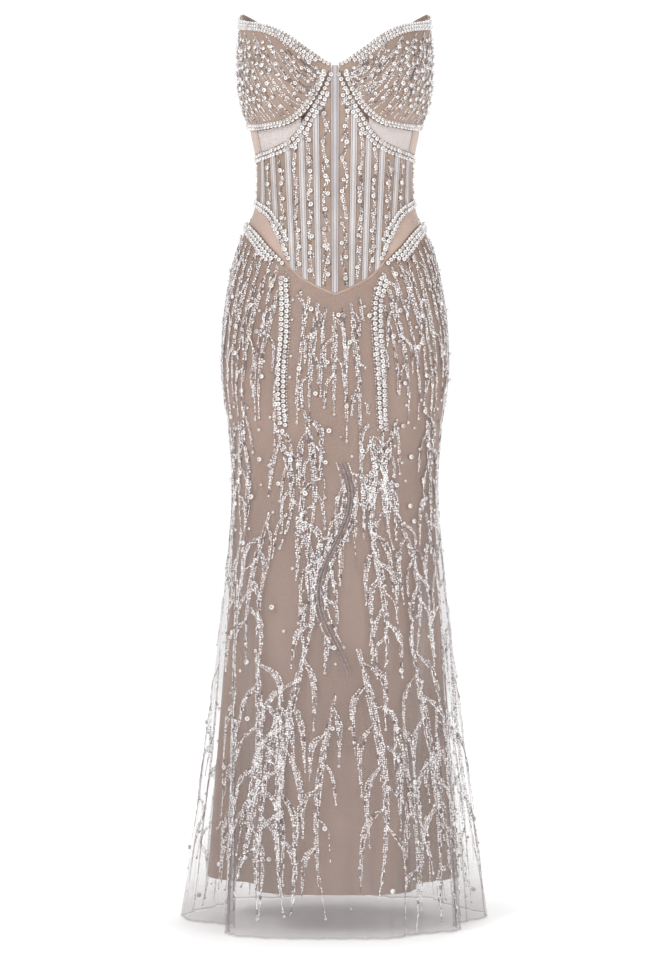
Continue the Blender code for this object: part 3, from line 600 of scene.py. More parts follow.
def net_material(name, thread_colour, shaded_colour, holes, thread, cover_rows):
    """Netting that lets the cloth behind it show. cover_rows are heights, and how much it hides there."""
    made, nodes, links, shader = material_of(name)
    set_values(shader, Roughness=0.6, Specular_IOR_Level=0.25)
    mesh = use_of(nodes, knotted_net, Holes=holes, Thread=thread)
    grain = use_of(nodes, thread_grain, Cloudiness=5.0)
    tone = nodes.new("ShaderNodeMix")
    tone.data_type = "RGBA"
    tone.inputs["A"].default_value = (*shaded_colour, 1.0)
    tone.inputs["B"].default_value = (*thread_colour, 1.0)
    links.new(grain.outputs["Shade"], tone.inputs["Factor"])
    links.new(tone.outputs["Result"], shader.inputs["Base Color"])
    place = nodes.new("ShaderNodeTexCoord")
    split = nodes.new("ShaderNodeSeparateXYZ")
    links.new(place.outputs["Object"], split.inputs[0])
    cover = None
    for (upper, most), (lower, more) in zip(cover_rows, cover_rows[1:]):
        base = 0.0 if cover is None else most
        step = node_of(nodes, "MapRange", From_Min=upper, From_Max=lower)
        set_values(step, To_Min=most - base, To_Max=more - base)
        links.new(split.outputs["Z"], step.inputs["Value"])
        found = step.outputs["Result"]
        cover = found if cover is None else sum_node(made.node_tree, "ADD", cover, found)
    threads = sum_node(made.node_tree, "MULTIPLY", mesh.outputs["Threads"], 0.75)
    threads = sum_node(made.node_tree, "ADD", threads, 0.25)
    links.new(sum_node(made.node_tree, "MULTIPLY", cover, threads), shader.inputs["Alpha"])
    return made


NET_COVER = ((-0.30, 0.14), (-0.50, 0.20), (-0.95, 0.28), (-1.0840, 0.46), (-1.0858, 1.0))
ivory_net = net_material("ivory net", (0.52, 0.48, 0.48), (0.40, 0.36, 0.36), 620.0, 0.34, NET_COVER)
net_lift = LINING_CLOTH + NET_STAND_OFF
net_pieces = []
for part, start, end in SKIRT_SPANS:
    flat, area = ((0.80, 1.03), 0.505) if part == "front" else ((0.46, 1.03), 0.27)
    panel = skirt_shell(f"net_panel_{part}", ivory_net, start, end, True, net_lift, NET_CLOTH, NET_RIPPLE)
    on_dress(panel, "ivory_net", f"net_{part}")
    net_pieces.append(panel)

# Corset front: one shaped panel of nude satin on net, from side seam to side seam.
# Its lower edge dips to a point below the waist, and it is seamed to the windows and the hips.

CLOTH = 0.0015
BONE_CONVERGE = 0.60
CUP_EDGE_ROOM = 0.0007
CUP_EDGE = (
    # angle from the centre front, height
    (0.0, 0.1520),
    (2.0, 0.1510),
    (5.3, 0.1370),
    (10.0, 0.1155),
    (15.6, 0.0950),
    (21.0, 0.0824),
    (31.5, 0.0700),
    (45.0, 0.0660),
    (64.0, 0.0645),
    (90.0, 0.0690),
    (130.0, 0.0700),
    (180.0, 0.0720),
)
CORSET_TOP = (
    (0.0, 0.1520),
    (2.0, 0.1510),
    (5.3, 0.1370),
    (10.0, 0.1155),
    (15.6, 0.0950),
    (20.0, 0.0815),
    (24.0, 0.0670),
    (28.5, 0.0575),
    (34.6, 0.0485),
    (42.5, 0.0425),
    (51.5, 0.0380),
    (66.0, 0.0342),
    (90.0, 0.0331),
    (135.0, 0.0360),
    (180.0, 0.0450),
)
CORSET_LOW = (
    (26.0, -0.1360),
    (29.0, -0.1250),
    (32.7, -0.1090),
    (39.3, -0.0891),
    (48.5, -0.0698),
    (61.0, -0.0560),
    (75.0, -0.0480),
    (90.0, -0.0430),
    (120.0, -0.0460),
    (150.0, -0.0580),
    (180.0, -0.0700),
)
cup_edge_at = curve_through(CUP_EDGE)
corset_top_at = curve_through(CORSET_TOP)
corset_low_at = curve_through(CORSET_LOW)


def cup_edge(angle):
    return cup_edge_at(np.abs(angle))


def corset_top(angle):
    return corset_top_at(np.abs(angle))


def corset_low(angle):
    """The hip seam at the front, and then the edge that climbs to the side."""
    climbing = np.maximum(corset_low_at(np.abs(angle)), hip_seam(angle))
    return np.where(np.abs(angle) <= CORSET_LOW[0][0], hip_seam(angle), climbing)


def smooth_step(value):
    value = np.clip(value, 0.0, 1.0)
    return value * value * (3 - 2 * value)


def corset_angle(out, height):
    """Where a line of the corset cut is: it stays near upright, and the outermost follow the side."""
    waist_half = half_width(0.0)
    half = half_width(height)
    share = smooth_step((np.abs(out) / waist_half - 0.82) / 0.18)
    place = out * (1 + BONE_CONVERGE * height) * (1 - share) + out * half / waist_half * share
    return np.degrees(np.arcsin(np.clip(place / half, -1.0, 1.0)))


def corset_grid(outs, low, high, rows, gap=SEAM_GAP / 2):
    """Angles and heights of a panel of the corset cut, from one seam up to another."""
    outs = np.asarray(outs, float)
    bottom = np.full(outs.shape, -0.05)
    top = np.full(outs.shape, 0.05)
    for _ in range(14):
        bottom = low(corset_angle(outs, bottom))
        top = high(corset_angle(outs, top))
    share = np.linspace(0.0, 1.0, rows)[:, None]
    height = (bottom + gap)[None, :] * (1 - share) + (top - gap)[None, :] * share
    return corset_angle(outs[None, :], height), height


def run_along(points):
    """How far along a line of points each of them is."""
    return np.concatenate([[0.0], np.cumsum(np.linalg.norm(np.diff(points, axis=0), axis=1))])


def body_shell(name, look, angle, height, lift, thickness, places=oval_places):
    """A shell of cloth over a grid of angles and heights of the body."""
    points, way_out = places(angle, height)
    thickness = np.broadcast_to(np.asarray(thickness, float), angle.shape)[..., None]
    inside, outside = points + way_out * lift, points + way_out * (lift + thickness)
    return cloth_shell(name, inside, outside, look, run_along(points[len(points) // 2]))


bodice_satin = cloth_material(
    "bodice satin", (0.280, 0.200, 0.160), (0.370, 0.275, 0.225), 0.50, 1200.0, 900.0, 14.0, 0.2, 0.3
)
hip_satin = cloth_material(
    "hip satin", (0.450, 0.335, 0.280), (0.530, 0.400, 0.340), 0.45, 1200.0, 900.0, 14.0, 0.2, 0.3
)
waist_half = float(half_width(0.0)) - SEAM_GAP / 20
angle, height = corset_grid(np.linspace(-waist_half, waist_half, 75), corset_low, corset_top, 40)
corset_panel = body_shell("corset_front_panel", bodice_satin, angle, height, 0.0, CLOTH)
on_dress(corset_panel, "nude_satin", "corset_front")

# Windows and hip panels: a see-through stretch mesh fills the cut-out under each cup,
# and a plain satin panel closes the narrow wedge above each hip.

SIDES = (("left", -1.0), ("right", 1.0))
WINDOW_FROM = 0.0465
WEDGE_FROM = 0.0732
window_mesh = net_material(
    "window mesh", (0.74, 0.68, 0.66), (0.66, 0.60, 0.58), 1100.0, 0.55, ((0.20, 1.5), (-0.10, 1.5))
)
for side, sign in SIDES:
    angle, height = corset_grid(sign * np.linspace(WINDOW_FROM, waist_half, 22), corset_top, cup_edge, 14)
    window = body_shell(f"side_window_{side}", window_mesh, angle, height, 0.0, CLOTH)
    on_dress(window, "nude_mesh", f"window_{side}")
    angle, height = corset_grid(sign * np.linspace(WEDGE_FROM, waist_half, 18), hip_seam, corset_low, 10)
    wedge = body_shell(f"hip_wedge_{side}", hip_satin, angle, height, 0.0, CLOTH)
    on_dress(wedge, "nude_satin", f"waist_panel_{side}")

# Cups: two moulded cups of nude satin over foam, open at the neck, seamed to the corset along the wire.
# They meet in a narrow bridge over the centre bone.

CUP_CLOTH = 0.0025
CUP_SWELL = 0.045
BRIDGE_ANGLE = 2.7
CUP_SIDE_ANGLE = 89.85
NECK_EDGE = (
    (0.0, 0.1530),
    (6.0, 0.1580),
    (9.7, 0.1640),
    (19.8, 0.1800),
    (29.7, 0.1970),
    (41.0, 0.2105),
    (52.5, 0.2180),
    (69.0, 0.2250),
    (90.0, 0.2350),
    (100.0, 0.2430),
    (126.0, 0.2340),
    (145.0, 0.2080),
    (160.0, 0.1860),
    (180.0, 0.1680),
)
SWELL_ROUND = (
    # angle, share of the cup's whole depth
    (0.0, 0.00),
    (5.0, 0.03),
    (15.0, 0.38),
    (28.0, 0.86),
    (40.0, 1.00),
    (55.0, 0.82),
    (72.0, 0.47),
    (90.0, 0.30),
    (115.0, 0.08),
    (135.0, 0.00),
    (180.0, 0.00),
)
neck_edge_at = curve_through(NECK_EDGE)
swell_round_at = curve_through(SWELL_ROUND)


def neck_edge(angle):
    return neck_edge_at(np.abs(angle))


def cup_places(angle, height):
    """Points of the cups, and of the band behind them, which stand out from the oval."""
    points, way_out = oval_places(angle, height)
    side = np.abs(angle)
    low, high = cup_edge(angle), neck_edge(angle)
    up = np.clip((height - low) / (high - low), 0.0, 1.0)
    profile = 0.88 * np.sin(np.pi * up**0.85) + 0.12 * smooth_step(up / 0.3)
    swell = CUP_SWELL * profile * swell_round_at(side)
    turned = np.radians(side * (0.45 + 0.55 * smooth_step((side - 50) / 40)))
    forward = np.stack([np.sign(angle) * np.sin(turned), -np.cos(turned), 0 * turned], -1)
    return points + forward * swell[..., None], way_out


def tier_grid(angles, low, high, rows, low_room=0.0):
    """Angles and heights of a panel between two seams that run round the body."""
    bottom = low(angles) + SEAM_GAP / 2 + low_room
    top = high(angles) - SEAM_GAP / 2
    share = np.linspace(0.0, 1.0, rows)[:, None]
    return np.broadcast_to(angles, (rows, len(angles))), bottom * (1 - share) + top * share


for side, sign in SIDES:
    spaced = BRIDGE_ANGLE + (CUP_SIDE_ANGLE - BRIDGE_ANGLE) * np.linspace(0.0, 1.0, 42) ** 1.15
    angle, height = tier_grid(sign * spaced, cup_edge, neck_edge, 32, CUP_EDGE_ROOM)
    cup = body_shell(f"moulded_cup_{side}", bodice_satin, angle, height, 0.0, CUP_CLOTH, cup_places)
    on_dress(cup, "nude_satin", f"cup_{side}")

# Back of the bodice: the band behind the cups, a mesh window, the corset back and a hip wedge on each side.
# All end in the two edges that the zip is sewn to.


def back_grid(sign, low, high, rows):
    """A back panel's angles and heights, from the side seam to the edge beside the zip."""
    end_height = np.linspace(float(low(180.0)), float(high(180.0)), rows)
    last = 180.0 - np.degrees(np.arcsin((ZIP_WIDTH / 2 + SEAM_GAP) / half_width(end_height)))
    t = np.linspace(0.0, 1.0, 30)
    angle = 90.15 + (last[:, None] - 90.15) * t[None, :]
    bottom, top = low(angle) + SEAM_GAP / 2, high(angle) - SEAM_GAP / 2
    share = np.linspace(0.0, 1.0, rows)[:, None]
    return sign * angle, bottom * (1 - share) + top * share


BACK_TIERS = (
    # piece, CAD node, lower seam, upper seam, rows, cloth, slot, thickness, flat size, area
    (
        "cup_band", "back_band", cup_edge, neck_edge, 24,
        bodice_satin, "nude_satin", CUP_CLOTH, (0.19, 0.18), 0.0265,
    ),
    (
        "mesh_window", "back_window", corset_top, cup_edge, 8,
        window_mesh, "nude_mesh", CLOTH, (0.18, 0.037), 0.0059,
    ),
    (
        "corset_panel", "corset_back", corset_low, corset_top, 20,
        bodice_satin, "nude_satin", CLOTH, (0.18, 0.12), 0.0150,
    ),
    (
        "back_wedge", "back_waist_panel", hip_seam, corset_low, 8,
        hip_satin, "nude_satin", CLOTH, (0.20, 0.060), 0.0079,
    ),
)
for side, sign in SIDES:
    for title, node, low, high, rows, look, slot, thickness, flat, area in BACK_TIERS:
        angle, height = back_grid(sign, low, high, rows)
        places = cup_places if node == "back_band" else oval_places
        piece = body_shell(f"{title}_{side}_back", look, angle, height, 0.0, thickness, places)
        on_dress(piece, slot, f"{node}_{side}")

# Bones: eleven spiral bones in silvery satin casings, stitched down along both edges over the corset front.
# A plain nude casing covers each side seam beside the windows.

BONE_CLOTH = 0.0012
BONE_RIDGE = 0.0005
BONES = (
    # name, out from the centre at the waist, half width
    ("centre", 0.0, 0.0050),
    ("1", 0.0260, 0.0042),
    ("2", 0.0465, 0.0040),
    ("3", 0.0660, 0.0038),
    ("4", 0.0875, 0.0032),
    ("5", 0.1030, 0.0020),
)
# The last colour of each of these three satins is painted shade for the stitched grooves and edges of its
# casings.
bone_satin = cloth_material(
    "bone satin", (0.500, 0.475, 0.470), (0.640, 0.615, 0.610), 0.30, 1500.0, 260.0, 22.0, 0.2, 0.25,
    (0.300, 0.265, 0.265),
)
centre_satin = cloth_material(
    "centre bone satin", (0.430, 0.395, 0.405), (0.530, 0.495, 0.505), 0.32, 1100.0, 200.0, 22.0, 0.2, 0.4,
    (0.250, 0.220, 0.225),
)
casing_satin = cloth_material(
    "side casing satin", (0.500, 0.380, 0.325), (0.580, 0.455, 0.395), 0.45, 1200.0, 500.0, 12.0, 0.2, 0.3,
    (0.360, 0.270, 0.230),
)


def mark_groove_shade(piece, columns):
    """Writes how much painted shade each column of a shell gets, from 0 to 1, darkest in its grooves."""
    marks = np.tile(np.asarray(columns, np.float32), len(piece.data.vertices) // len(columns))
    piece.data.attributes.new("groove_shade", "FLOAT", "POINT").data.foreach_set("value", marks)


BONE_PROFILE = (
    # share of the half width, height of the crown, painted shade of the stitched grooves: one half, from the
    # edge to the middle
    (1.0, 0.20, 0.5),
    (0.95, 0.80, 0.0),
    (0.78, 0.85, 0.0),
    (0.66, 0.25, 1.0),
    (0.44, 0.30, 0.8),
    (0.34, 0.95, 0.0),
    (0.14, 1.2, 0.0),
    (0.0, 1.35, 0.3),
)
half_bone = np.array(BONE_PROFILE)
bone_across = np.concatenate([-half_bone[:-1, 0], half_bone[::-1, 0]])
bone_crown, bone_groove_shade = np.concatenate([half_bone[:-1, 1:], half_bone[::-1, 1:]]).T
for bone, out, half in BONES:
    for side, sign in SIDES:
        if not out and sign < 0:
            continue
        angle, height = corset_grid(sign * out + half * bone_across, corset_low, corset_top, 60, 0.0006)
        title = "bone_casing_centre" if not out else f"bone_casing_{side}_{bone}"
        node = "bone_centre" if not out else f"bone_{side}_{bone}"
        depth = BONE_CLOTH * 0.75 + (BONE_CLOTH * 0.25 + BONE_RIDGE) * bone_crown[None, :] / bone_crown.max()
        look = bone_satin if out else centre_satin
        casing = body_shell(title, look, angle, height, CLOTH + SEAM_GAP, np.broadcast_to(depth, angle.shape))
        mark_groove_shade(casing, bone_groove_shade)
        on_dress(casing, "silver_satin", node)
for side, sign in SIDES:
    columns = (67.5, 68.1, 68.7, 69.3, 70.5, 73.0, 76.0, 79.0, 82.0, 85.0, 88.0, 88.5, 89.0, 89.6)
    crown = np.array([0.3, 0.8, 0.9, 0.55, 0.9, 1.0, 1.0, 1.0, 1.0, 1.0, 0.9, 0.55, 0.9, 0.3])
    angle, height = tier_grid(sign * np.array(columns), corset_top, cup_edge, 12)
    thickness = BONE_CLOTH * crown[None, :] + 0 * angle
    casing = body_shell(f"seam_casing_{side}", casing_satin, angle, height, CLOTH + SEAM_GAP, thickness)
    # Painted shade: the side casing is darkened at its stitched lines and at its edges.
    mark_groove_shade(casing, (0.5, 0, 0, 1, 0, 0, 0, 0, 0, 0, 0, 1, 0, 0.5))
    on_dress(casing, "nude_satin", f"side_casing_{side}")

# Piping: a narrow cord covered in nude satin is sewn into the hip seam, from zip edge to zip edge.

PIPING = 0.0017
piping_satin = cloth_material(
    "piping satin", (0.400, 0.295, 0.245), (0.470, 0.350, 0.295), 0.42, 1400.0, 600.0, 20.0, 0.2, 0.3
)
angles = np.concatenate([np.linspace(-178.6, 0.0, 220), np.linspace(0.0, 178.6, 220)[1:]])
middle, way_out = oval_places(angles, hip_seam(angles) - 0.0010)
heading = unit(np.gradient(middle, axis=0))
aside = unit(np.cross(heading, way_out))
turns = np.linspace(0.0, 2 * math.pi, 9)[:-1]
rings = middle[:, None] + way_out[:, None] * 0.0006
round_it = np.cos(turns)[None, :, None] * aside[:, None] + np.sin(turns)[None, :, None] * way_out[:, None]
rings = rings + PIPING * round_it
count, sides = rings.shape[:2]
at = np.arange(count * sides).reshape(count, sides)
after = np.roll(at, -1, axis=1)
walls = np.stack([at[:-1], at[1:], after[1:], after[:-1]], -1).reshape(-1, 4).tolist()
mesh = bpy.data.meshes.new("hip_seam_piping")
mesh.from_pydata(rings.reshape(-1, 3).tolist(), [], walls + [at[0].tolist(), at[-1][::-1].tolist()])
weave = np.stack([np.repeat(run_along(middle), sides), np.tile(turns * PIPING, count)], 1)
piping = finished("hip_seam_piping", mesh, piping_satin, weave)
on_dress(piping, "nude_satin")

# Zip: a fine coil zip down the centre back, with its tape behind the two edges.
# The slider sits closed at the top, and its flat pull hangs from a small bridge.

ZIP_CLOTH = 0.0014
ZIP_TAIL = 0.026
zip_tape = cloth_material(
    "zip tape", (0.300, 0.215, 0.170), (0.360, 0.265, 0.215), 0.6, 900.0, 900.0, 30.0, 0.0, 0.4
)
zip_metal, nodes, links, shader = material_of("plated metal")
scratches = node_of(nodes, "TexNoise", Scale=900.0, Detail=6.0)
dulled = node_of(nodes, "MapRange", To_Min=0.16, To_Max=0.34)
worn = ramp_of(nodes, (0.0, (0.52, 0.50, 0.47)), (1.0, (0.74, 0.72, 0.69)))
links.new(scratches.outputs["Fac"], dulled.inputs["Value"])
links.new(scratches.outputs["Fac"], worn.inputs["Fac"])
links.new(dulled.outputs["Result"], shader.inputs["Roughness"])
links.new(worn.outputs["Color"], shader.inputs["Base Color"])
shader.inputs["Metallic"].default_value = 1.0
for node in ("zip_slider", "zip_pull"):
    metal_part = frame["nodes"][node]
    metal_part.data.materials.clear()
    metal_part.data.materials.append(zip_metal)
    softened = metal_part.modifiers.new("softened edges", "BEVEL")
    softened.width = 0.00018
    softened.segments = 2
    softened.limit_method = "ANGLE"

zip_top = float(neck_edge(180.0)) - 0.001
zip_heights = np.linspace(ZIP_END_HEIGHT - ZIP_TAIL, zip_top, 96)
zip_back = back_depth(zip_heights)
zip_points = np.stack(
    [np.stack([x + 0 * zip_back, zip_back, zip_heights], -1) for x in (0.002, 0.001, 0.0, -0.001, -0.002)], 1
)
outward = np.array([0.0, 1.0, 0.0])
tape = cloth_shell(
    "zip_tape_strip", zip_points, zip_points + outward * ZIP_CLOTH * 0.5, zip_tape, np.linspace(0.0, 0.004, 5)
)
on_dress(tape, "zip_tape", "zip_coil")

# Beads: glass seed beads, flat sequins, short tube beads and round pearls with a drilled dimple.
# Each is sewn on by hand, so sizes, tilts and tones vary a little from one to the next.

UPWARD = np.array([0.0, 0.0, 1.0])
beading = np.random.default_rng(41)


def bead_form(rings, profile):
    """A closed bead turned round its own height. Rows are radius, height and how light the bead is painted
    there; below 1 is painted shade.
    """
    points, painted_shading = [(0.0, 0.0, profile[0][1])], [profile[0][2]]
    for radius, height, light in profile[1:-1]:
        for k in range(rings):
            turn = 2 * math.pi * k / rings
            points.append((radius * math.cos(turn), radius * math.sin(turn), height))
            painted_shading.append(light)
    points.append((0.0, 0.0, profile[-1][1]))
    painted_shading.append(profile[-1][2])
    last = len(points) - 1
    faces = []
    for k in range(rings):
        after = (k + 1) % rings
        faces.append((0, 1 + after, 1 + k))
        for level in range(len(profile) - 3):
            a, b = 1 + level * rings, 1 + (level + 1) * rings
            faces.append((a + k, a + after, b + after))
            faces.append((a + k, b + after, b + k))
        low = last - rings
        faces.append((low + k, low + after, last))
    return np.array(points), np.array(faces), np.array(painted_shading)


def tube_form():
    """A short tube bead along its own length."""
    points, faces = [], []
    for end in (-0.5, 0.5):
        for k in range(4):
            turn = math.pi / 4 + math.pi / 2 * k
            points.append((end, 0.5 * math.cos(turn), 0.5 * math.sin(turn)))
    for k in range(4):
        after = (k + 1) % 4
        faces += [(k, after, 4 + after), (k, 4 + after, 4 + k)]
    faces += [(0, 2, 1), (0, 3, 2), (4, 5, 6), (4, 6, 7)]
    return np.array(points), np.array(faces), np.ones(8)


# The last number in each row sets how light the bead is painted there. On pearls it is painted shade, darker
# underneath and far darker in the dimple; sequins are a little darker at their sunk centre.
BEAD_FORMS = {
    "seed": bead_form(5, ((0, -0.60, 1), (1.0, -0.15, 1), (0.90, 0.35, 1), (0, 0.62, 1))),
    "tiny": bead_form(4, ((0, -0.7, 1), (1.0, 0.0, 1), (0, 0.8, 1))),
    "sequin": bead_form(5, ((0, -0.10, 1), (1.0, 0.12, 1), (0, 0.02, 0.7))),
    "tube": tube_form(),
    "pearl": bead_form(
        10,
        (
            (0, -0.70, 0.8), (0.90, -0.35, 0.8), (0.95, 0.30, 1),
            (0.64, 0.72, 1), (0.36, 0.56, 0.35), (0, 0.34, 0.05),
        ),
    ),
    "small pearl": bead_form(
        8, ((0, -0.70, 0.8), (0.95, -0.20, 0.9), (0.70, 0.66, 1), (0.36, 0.58, 0.45), (0, 0.38, 0.1))
    ),
}
PEARL_LIFT = 0.62


class BeadTray:
    """Beads waiting to be sewn on: places, the ways out and along, sizes and tones."""

    def __init__(self):
        self.rows = {form: [] for form in BEAD_FORMS}

    def add(self, form, points, out, along, size, tone, tilt=0.0):
        """size is one number for each bead, or three for its length, width and height."""
        points = np.atleast_2d(points)
        count = len(points)
        if not count:
            return
        size = np.asarray(size, float)
        size = np.broadcast_to(size.reshape((-1, 1) if size.ndim < 2 else (-1, 3)), (count, 3))
        tone = np.broadcast_to(np.asarray(tone, float), (count,))
        out = np.broadcast_to(out, (count, 3)) + beading.normal(0.0, 1.0, (count, 3)) * tilt
        along = np.broadcast_to(along, (count, 3))
        self.rows[form].append(np.hstack([points, out, along, size, tone[:, None]]))

    def sew(self, name, look, slot, *nodes):
        """One mesh of every bead in the tray."""
        points, faces, tones, smooth = [], [], [], []
        start = 0
        for form, groups in self.rows.items():
            if not groups:
                continue
            rows = np.concatenate(groups)
            shape, corners, painted_shading = BEAD_FORMS[form]
            out = unit(rows[:, 3:6])
            along = rows[:, 6:9] - out * (rows[:, 6:9] * out).sum(1, keepdims=True)
            lost = np.linalg.norm(along, axis=1, keepdims=True) < 1e-6
            along = unit(np.where(lost, [[1.0, 1e-3, 1e-3]], along))
            aside = np.cross(out, along)
            sized = shape[None] * rows[:, None, 9:12]
            turned = sized[..., :1] * along[:, None] + sized[..., 1:2] * aside[:, None]
            turned = turned + sized[..., 2:] * out[:, None]
            points.append((turned + rows[:, None, :3]).reshape(-1, 3))
            step = (np.arange(len(rows)) * len(shape))[:, None, None] + start
            faces.append((corners[None] + step).reshape(-1, 3))
            # Painted shade: each bead's tone is darkened where its form is painted darker.
            tones.append((rows[:, 12:] * painted_shading[None]).ravel())
            smooth.append(np.full(len(rows) * len(corners), "pearl" in form))
            start += len(rows) * len(shape)
        points, faces = np.concatenate(points), np.concatenate(faces)
        mesh = bpy.data.meshes.new(name)
        mesh.vertices.add(len(points))
        mesh.vertices.foreach_set("co", points.astype(np.float32).ravel())
        mesh.loops.add(faces.size)
        mesh.loops.foreach_set("vertex_index", faces.astype(np.int32).ravel())
        mesh.polygons.add(len(faces))
        mesh.polygons.foreach_set("loop_start", np.arange(0, faces.size, 3, dtype=np.int32))
        mesh.polygons.foreach_set("use_smooth", np.concatenate(smooth))
        tone = mesh.attributes.new("tone", "FLOAT", "POINT")
        tone.data.foreach_set("value", np.concatenate(tones).astype(np.float32))
        mesh.materials.append(look)
        mesh.update()
        mesh.validate()
        return on_dress(placed(name, mesh), slot, *nodes)


def bead_material(name, tones, roughness, metallic, coat):
    """Glass and pearl: the colour runs through tones with each bead's own tone, under a clear shine. The tone
    also carries each bead form's painted shade.
    """
    made, nodes, links, shader = material_of(name)
    set_values(shader, Metallic=metallic, Coat_Weight=coat, Coat_Roughness=0.08)
    own = nodes.new("ShaderNodeAttribute")
    own.attribute_name = "tone"
    ramp = ramp_of(nodes, *tones)
    mottled = node_of(nodes, "TexNoise", Scale=700.0)
    rough = node_of(nodes, "MapRange", To_Min=roughness - 0.06, To_Max=roughness + 0.10)
    links.new(own.outputs["Fac"], ramp.inputs["Fac"])
    links.new(ramp.outputs["Color"], shader.inputs["Base Color"])
    links.new(mottled.outputs["Fac"], rough.inputs["Value"])
    links.new(rough.outputs["Result"], shader.inputs["Roughness"])
    return made


# Its darkest tones are met only in the painted shade of the pearls' dimples.
pearl_look = bead_material(
    "ring pearl",
    (
        (0.0, (0.26, 0.21, 0.19)),
        (0.4, (0.46, 0.42, 0.41)),
        (0.7, (0.72, 0.69, 0.68)),
        (1.0, (0.90, 0.885, 0.875)),
    ),
    0.26, 0.0, 0.5,
)
# Its darkest tones go to the beads that are painted shade and painted dark reflections among the sequins.
bead_look = bead_material(
    "silver glass beads",
    (
        (0.0, (0.09, 0.065, 0.07)),
        (0.35, (0.30, 0.26, 0.27)),
        (0.65, (0.60, 0.56, 0.57)),
        (1.0, (0.96, 0.95, 0.945)),
    ),
    0.26, 0.15, 0.4,
)


def skin_of(pieces):
    """What the beads are sewn to: the surfaces of these pieces, as one searchable tree."""
    points, faces, start = [], [], 0
    for piece in pieces:
        mesh = piece.data
        points += [vertex.co.copy() for vertex in mesh.vertices]
        faces += [tuple(start + k for k in face.vertices) for face in mesh.polygons]
        start += len(mesh.vertices)
    return BVHTree.FromPolygons(points, faces)


def pressed_on(skin, points, out, reach=0.03):
    """Moves points onto the skin along the way out: the places, the skin's ways out, and which met it."""
    found, ways, met = [], [], []
    for point, way in zip(points, out):
        start = Vector(point) + Vector(way) * reach
        hit, normal, _, _ = skin.ray_cast(start, -Vector(way), reach * 2)
        met.append(hit is not None)
        found.append(hit if hit is not None else point)
        ways.append(normal if hit is not None else way)
    found, ways = np.array(found, float).reshape(-1, 3), np.array(ways, float).reshape(-1, 3)
    facing = np.sign((ways * np.asarray(out)).sum(1, keepdims=True))
    return found, ways * np.where(facing == 0, 1, facing), np.array(met, bool)


def is_bodice(piece):
    """Cloth of the bodice: a piece of the dress that is no panel of the skirt and no solid of the frame."""
    cloth = piece.type == "MESH" and piece.get("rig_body") and "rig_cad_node" not in piece
    return cloth and "net_panel" not in piece.name and "lining_panel" not in piece.name


bodice_skin = skin_of([piece for piece in bpy.context.scene.objects if is_bodice(piece)])
skirt_skin = skin_of(net_pieces)


def seam_path(edge, angles, shift, places):
    """Angles and heights that keep a distance from a seam: above it, or below it for a shift under 0."""
    height = edge(angles)
    here, out = places(angles, height)
    ahead = places(angles + 0.5, edge(angles + 0.5))[0]
    behind = places(angles - 0.5, height)[0]
    along = unit(ahead - here)
    aside = np.cross(along, out)
    aside = np.where(aside[:, 2:] > 0, aside, -aside)
    per_degree = places(angles + 0.5, height)[0] - behind
    per_metre = (places(angles, height + 0.001)[0] - places(angles, height - 0.001)[0]) / 0.002
    turned = (aside * per_degree).sum(1) / (per_degree**2).sum(1) * shift
    raised = (aside * per_metre).sum(1) / (per_metre**2).sum(1) * shift
    return angles + turned, height + raised


def pearl_tones(count):
    """White pearls, with a greyer one here and there."""
    greyer = beading.random(count) < 0.16
    grey = beading.uniform(0.50, 0.72, count)
    return np.where(greyer, grey, beading.uniform(0.80, 1.0, count))


def bead_tones_with_painted_shade(count, dusk=0.0):
    """Mostly silver and white beads, with dark ones among them that are painted shade and painted dark
    reflections of the sequins. dusk makes the whole row darker.
    """
    drawn = beading.random(count)
    tone = beading.uniform(0.82, 1.0, count)
    tone = np.where(drawn < 0.36, beading.uniform(0.40, 0.70, count), tone)
    tone = np.where(drawn < 0.15 + 0.2 * dusk, beading.uniform(0.0, 0.34, count), tone)
    return tone * (1.0 - 0.2 * dusk)


def sewn_row(tray, skin, angle, height, places, radius, form="pearl", gap=0.0004, start=0.0):
    """A row of beads side by side, along a path of angles and heights. radius may change along it."""
    run = run_along(places(angle, height)[0])
    radius = np.broadcast_to(np.asarray(radius, float), run.shape)
    at, sizes, here = [], [], start
    while here < run[-1]:
        size = float(np.interp(here, run, radius))
        at.append(here)
        sizes.append(size)
        here += 2 * size + gap
    at, sizes = np.array(at), np.array(sizes)
    points, out = places(np.interp(at, run, angle), np.interp(at, run, height))
    along = np.gradient(points, axis=0) if len(points) > 1 else np.array([[1.0, 0.0, 0.0]])
    found, _, met = pressed_on(skin, points, out)
    pearls = "pearl" in form
    sizes = sizes * beading.uniform(0.93, 1.04, len(at))
    tone = pearl_tones(len(at)) if pearls else bead_tones_with_painted_shade(len(at), 0.4)
    lift = (PEARL_LIFT if pearls else 0.5) * sizes
    places_out = (found + out * lift[:, None])[met]
    tray.add(form, places_out, out[met], along[met], sizes[met], tone[met], 0.10 if pearls else 0.2)


# Zip teeth: short coil teeth that mesh from both tapes in turn, up to the slider.

teeth = BeadTray()
heights = np.arange(ZIP_END_HEIGHT + 0.002, zip_top - 0.010, 0.0010)
swing = np.where(np.arange(len(heights)) % 2 == 0, 0.00045, -0.00045)
rows = np.stack([swing, back_depth(heights) + ZIP_CLOTH * 0.5 + 0.0003, heights], 1)
tooth = np.tile([0.0022, 0.0008, 0.0009], (len(rows), 1))
teeth.add("tube", rows, outward, np.array([1.0, 0.0, 0.0]), tooth, beading.uniform(0.45, 0.60, len(rows)))
teeth.sew("zip_teeth", bead_look, "zip_tape")

# Pearl borders: rows of pearls over every seam of the bodice and the hips, with seed beads between them.
# They run on round the back in two finer rows, and end beside the zip.

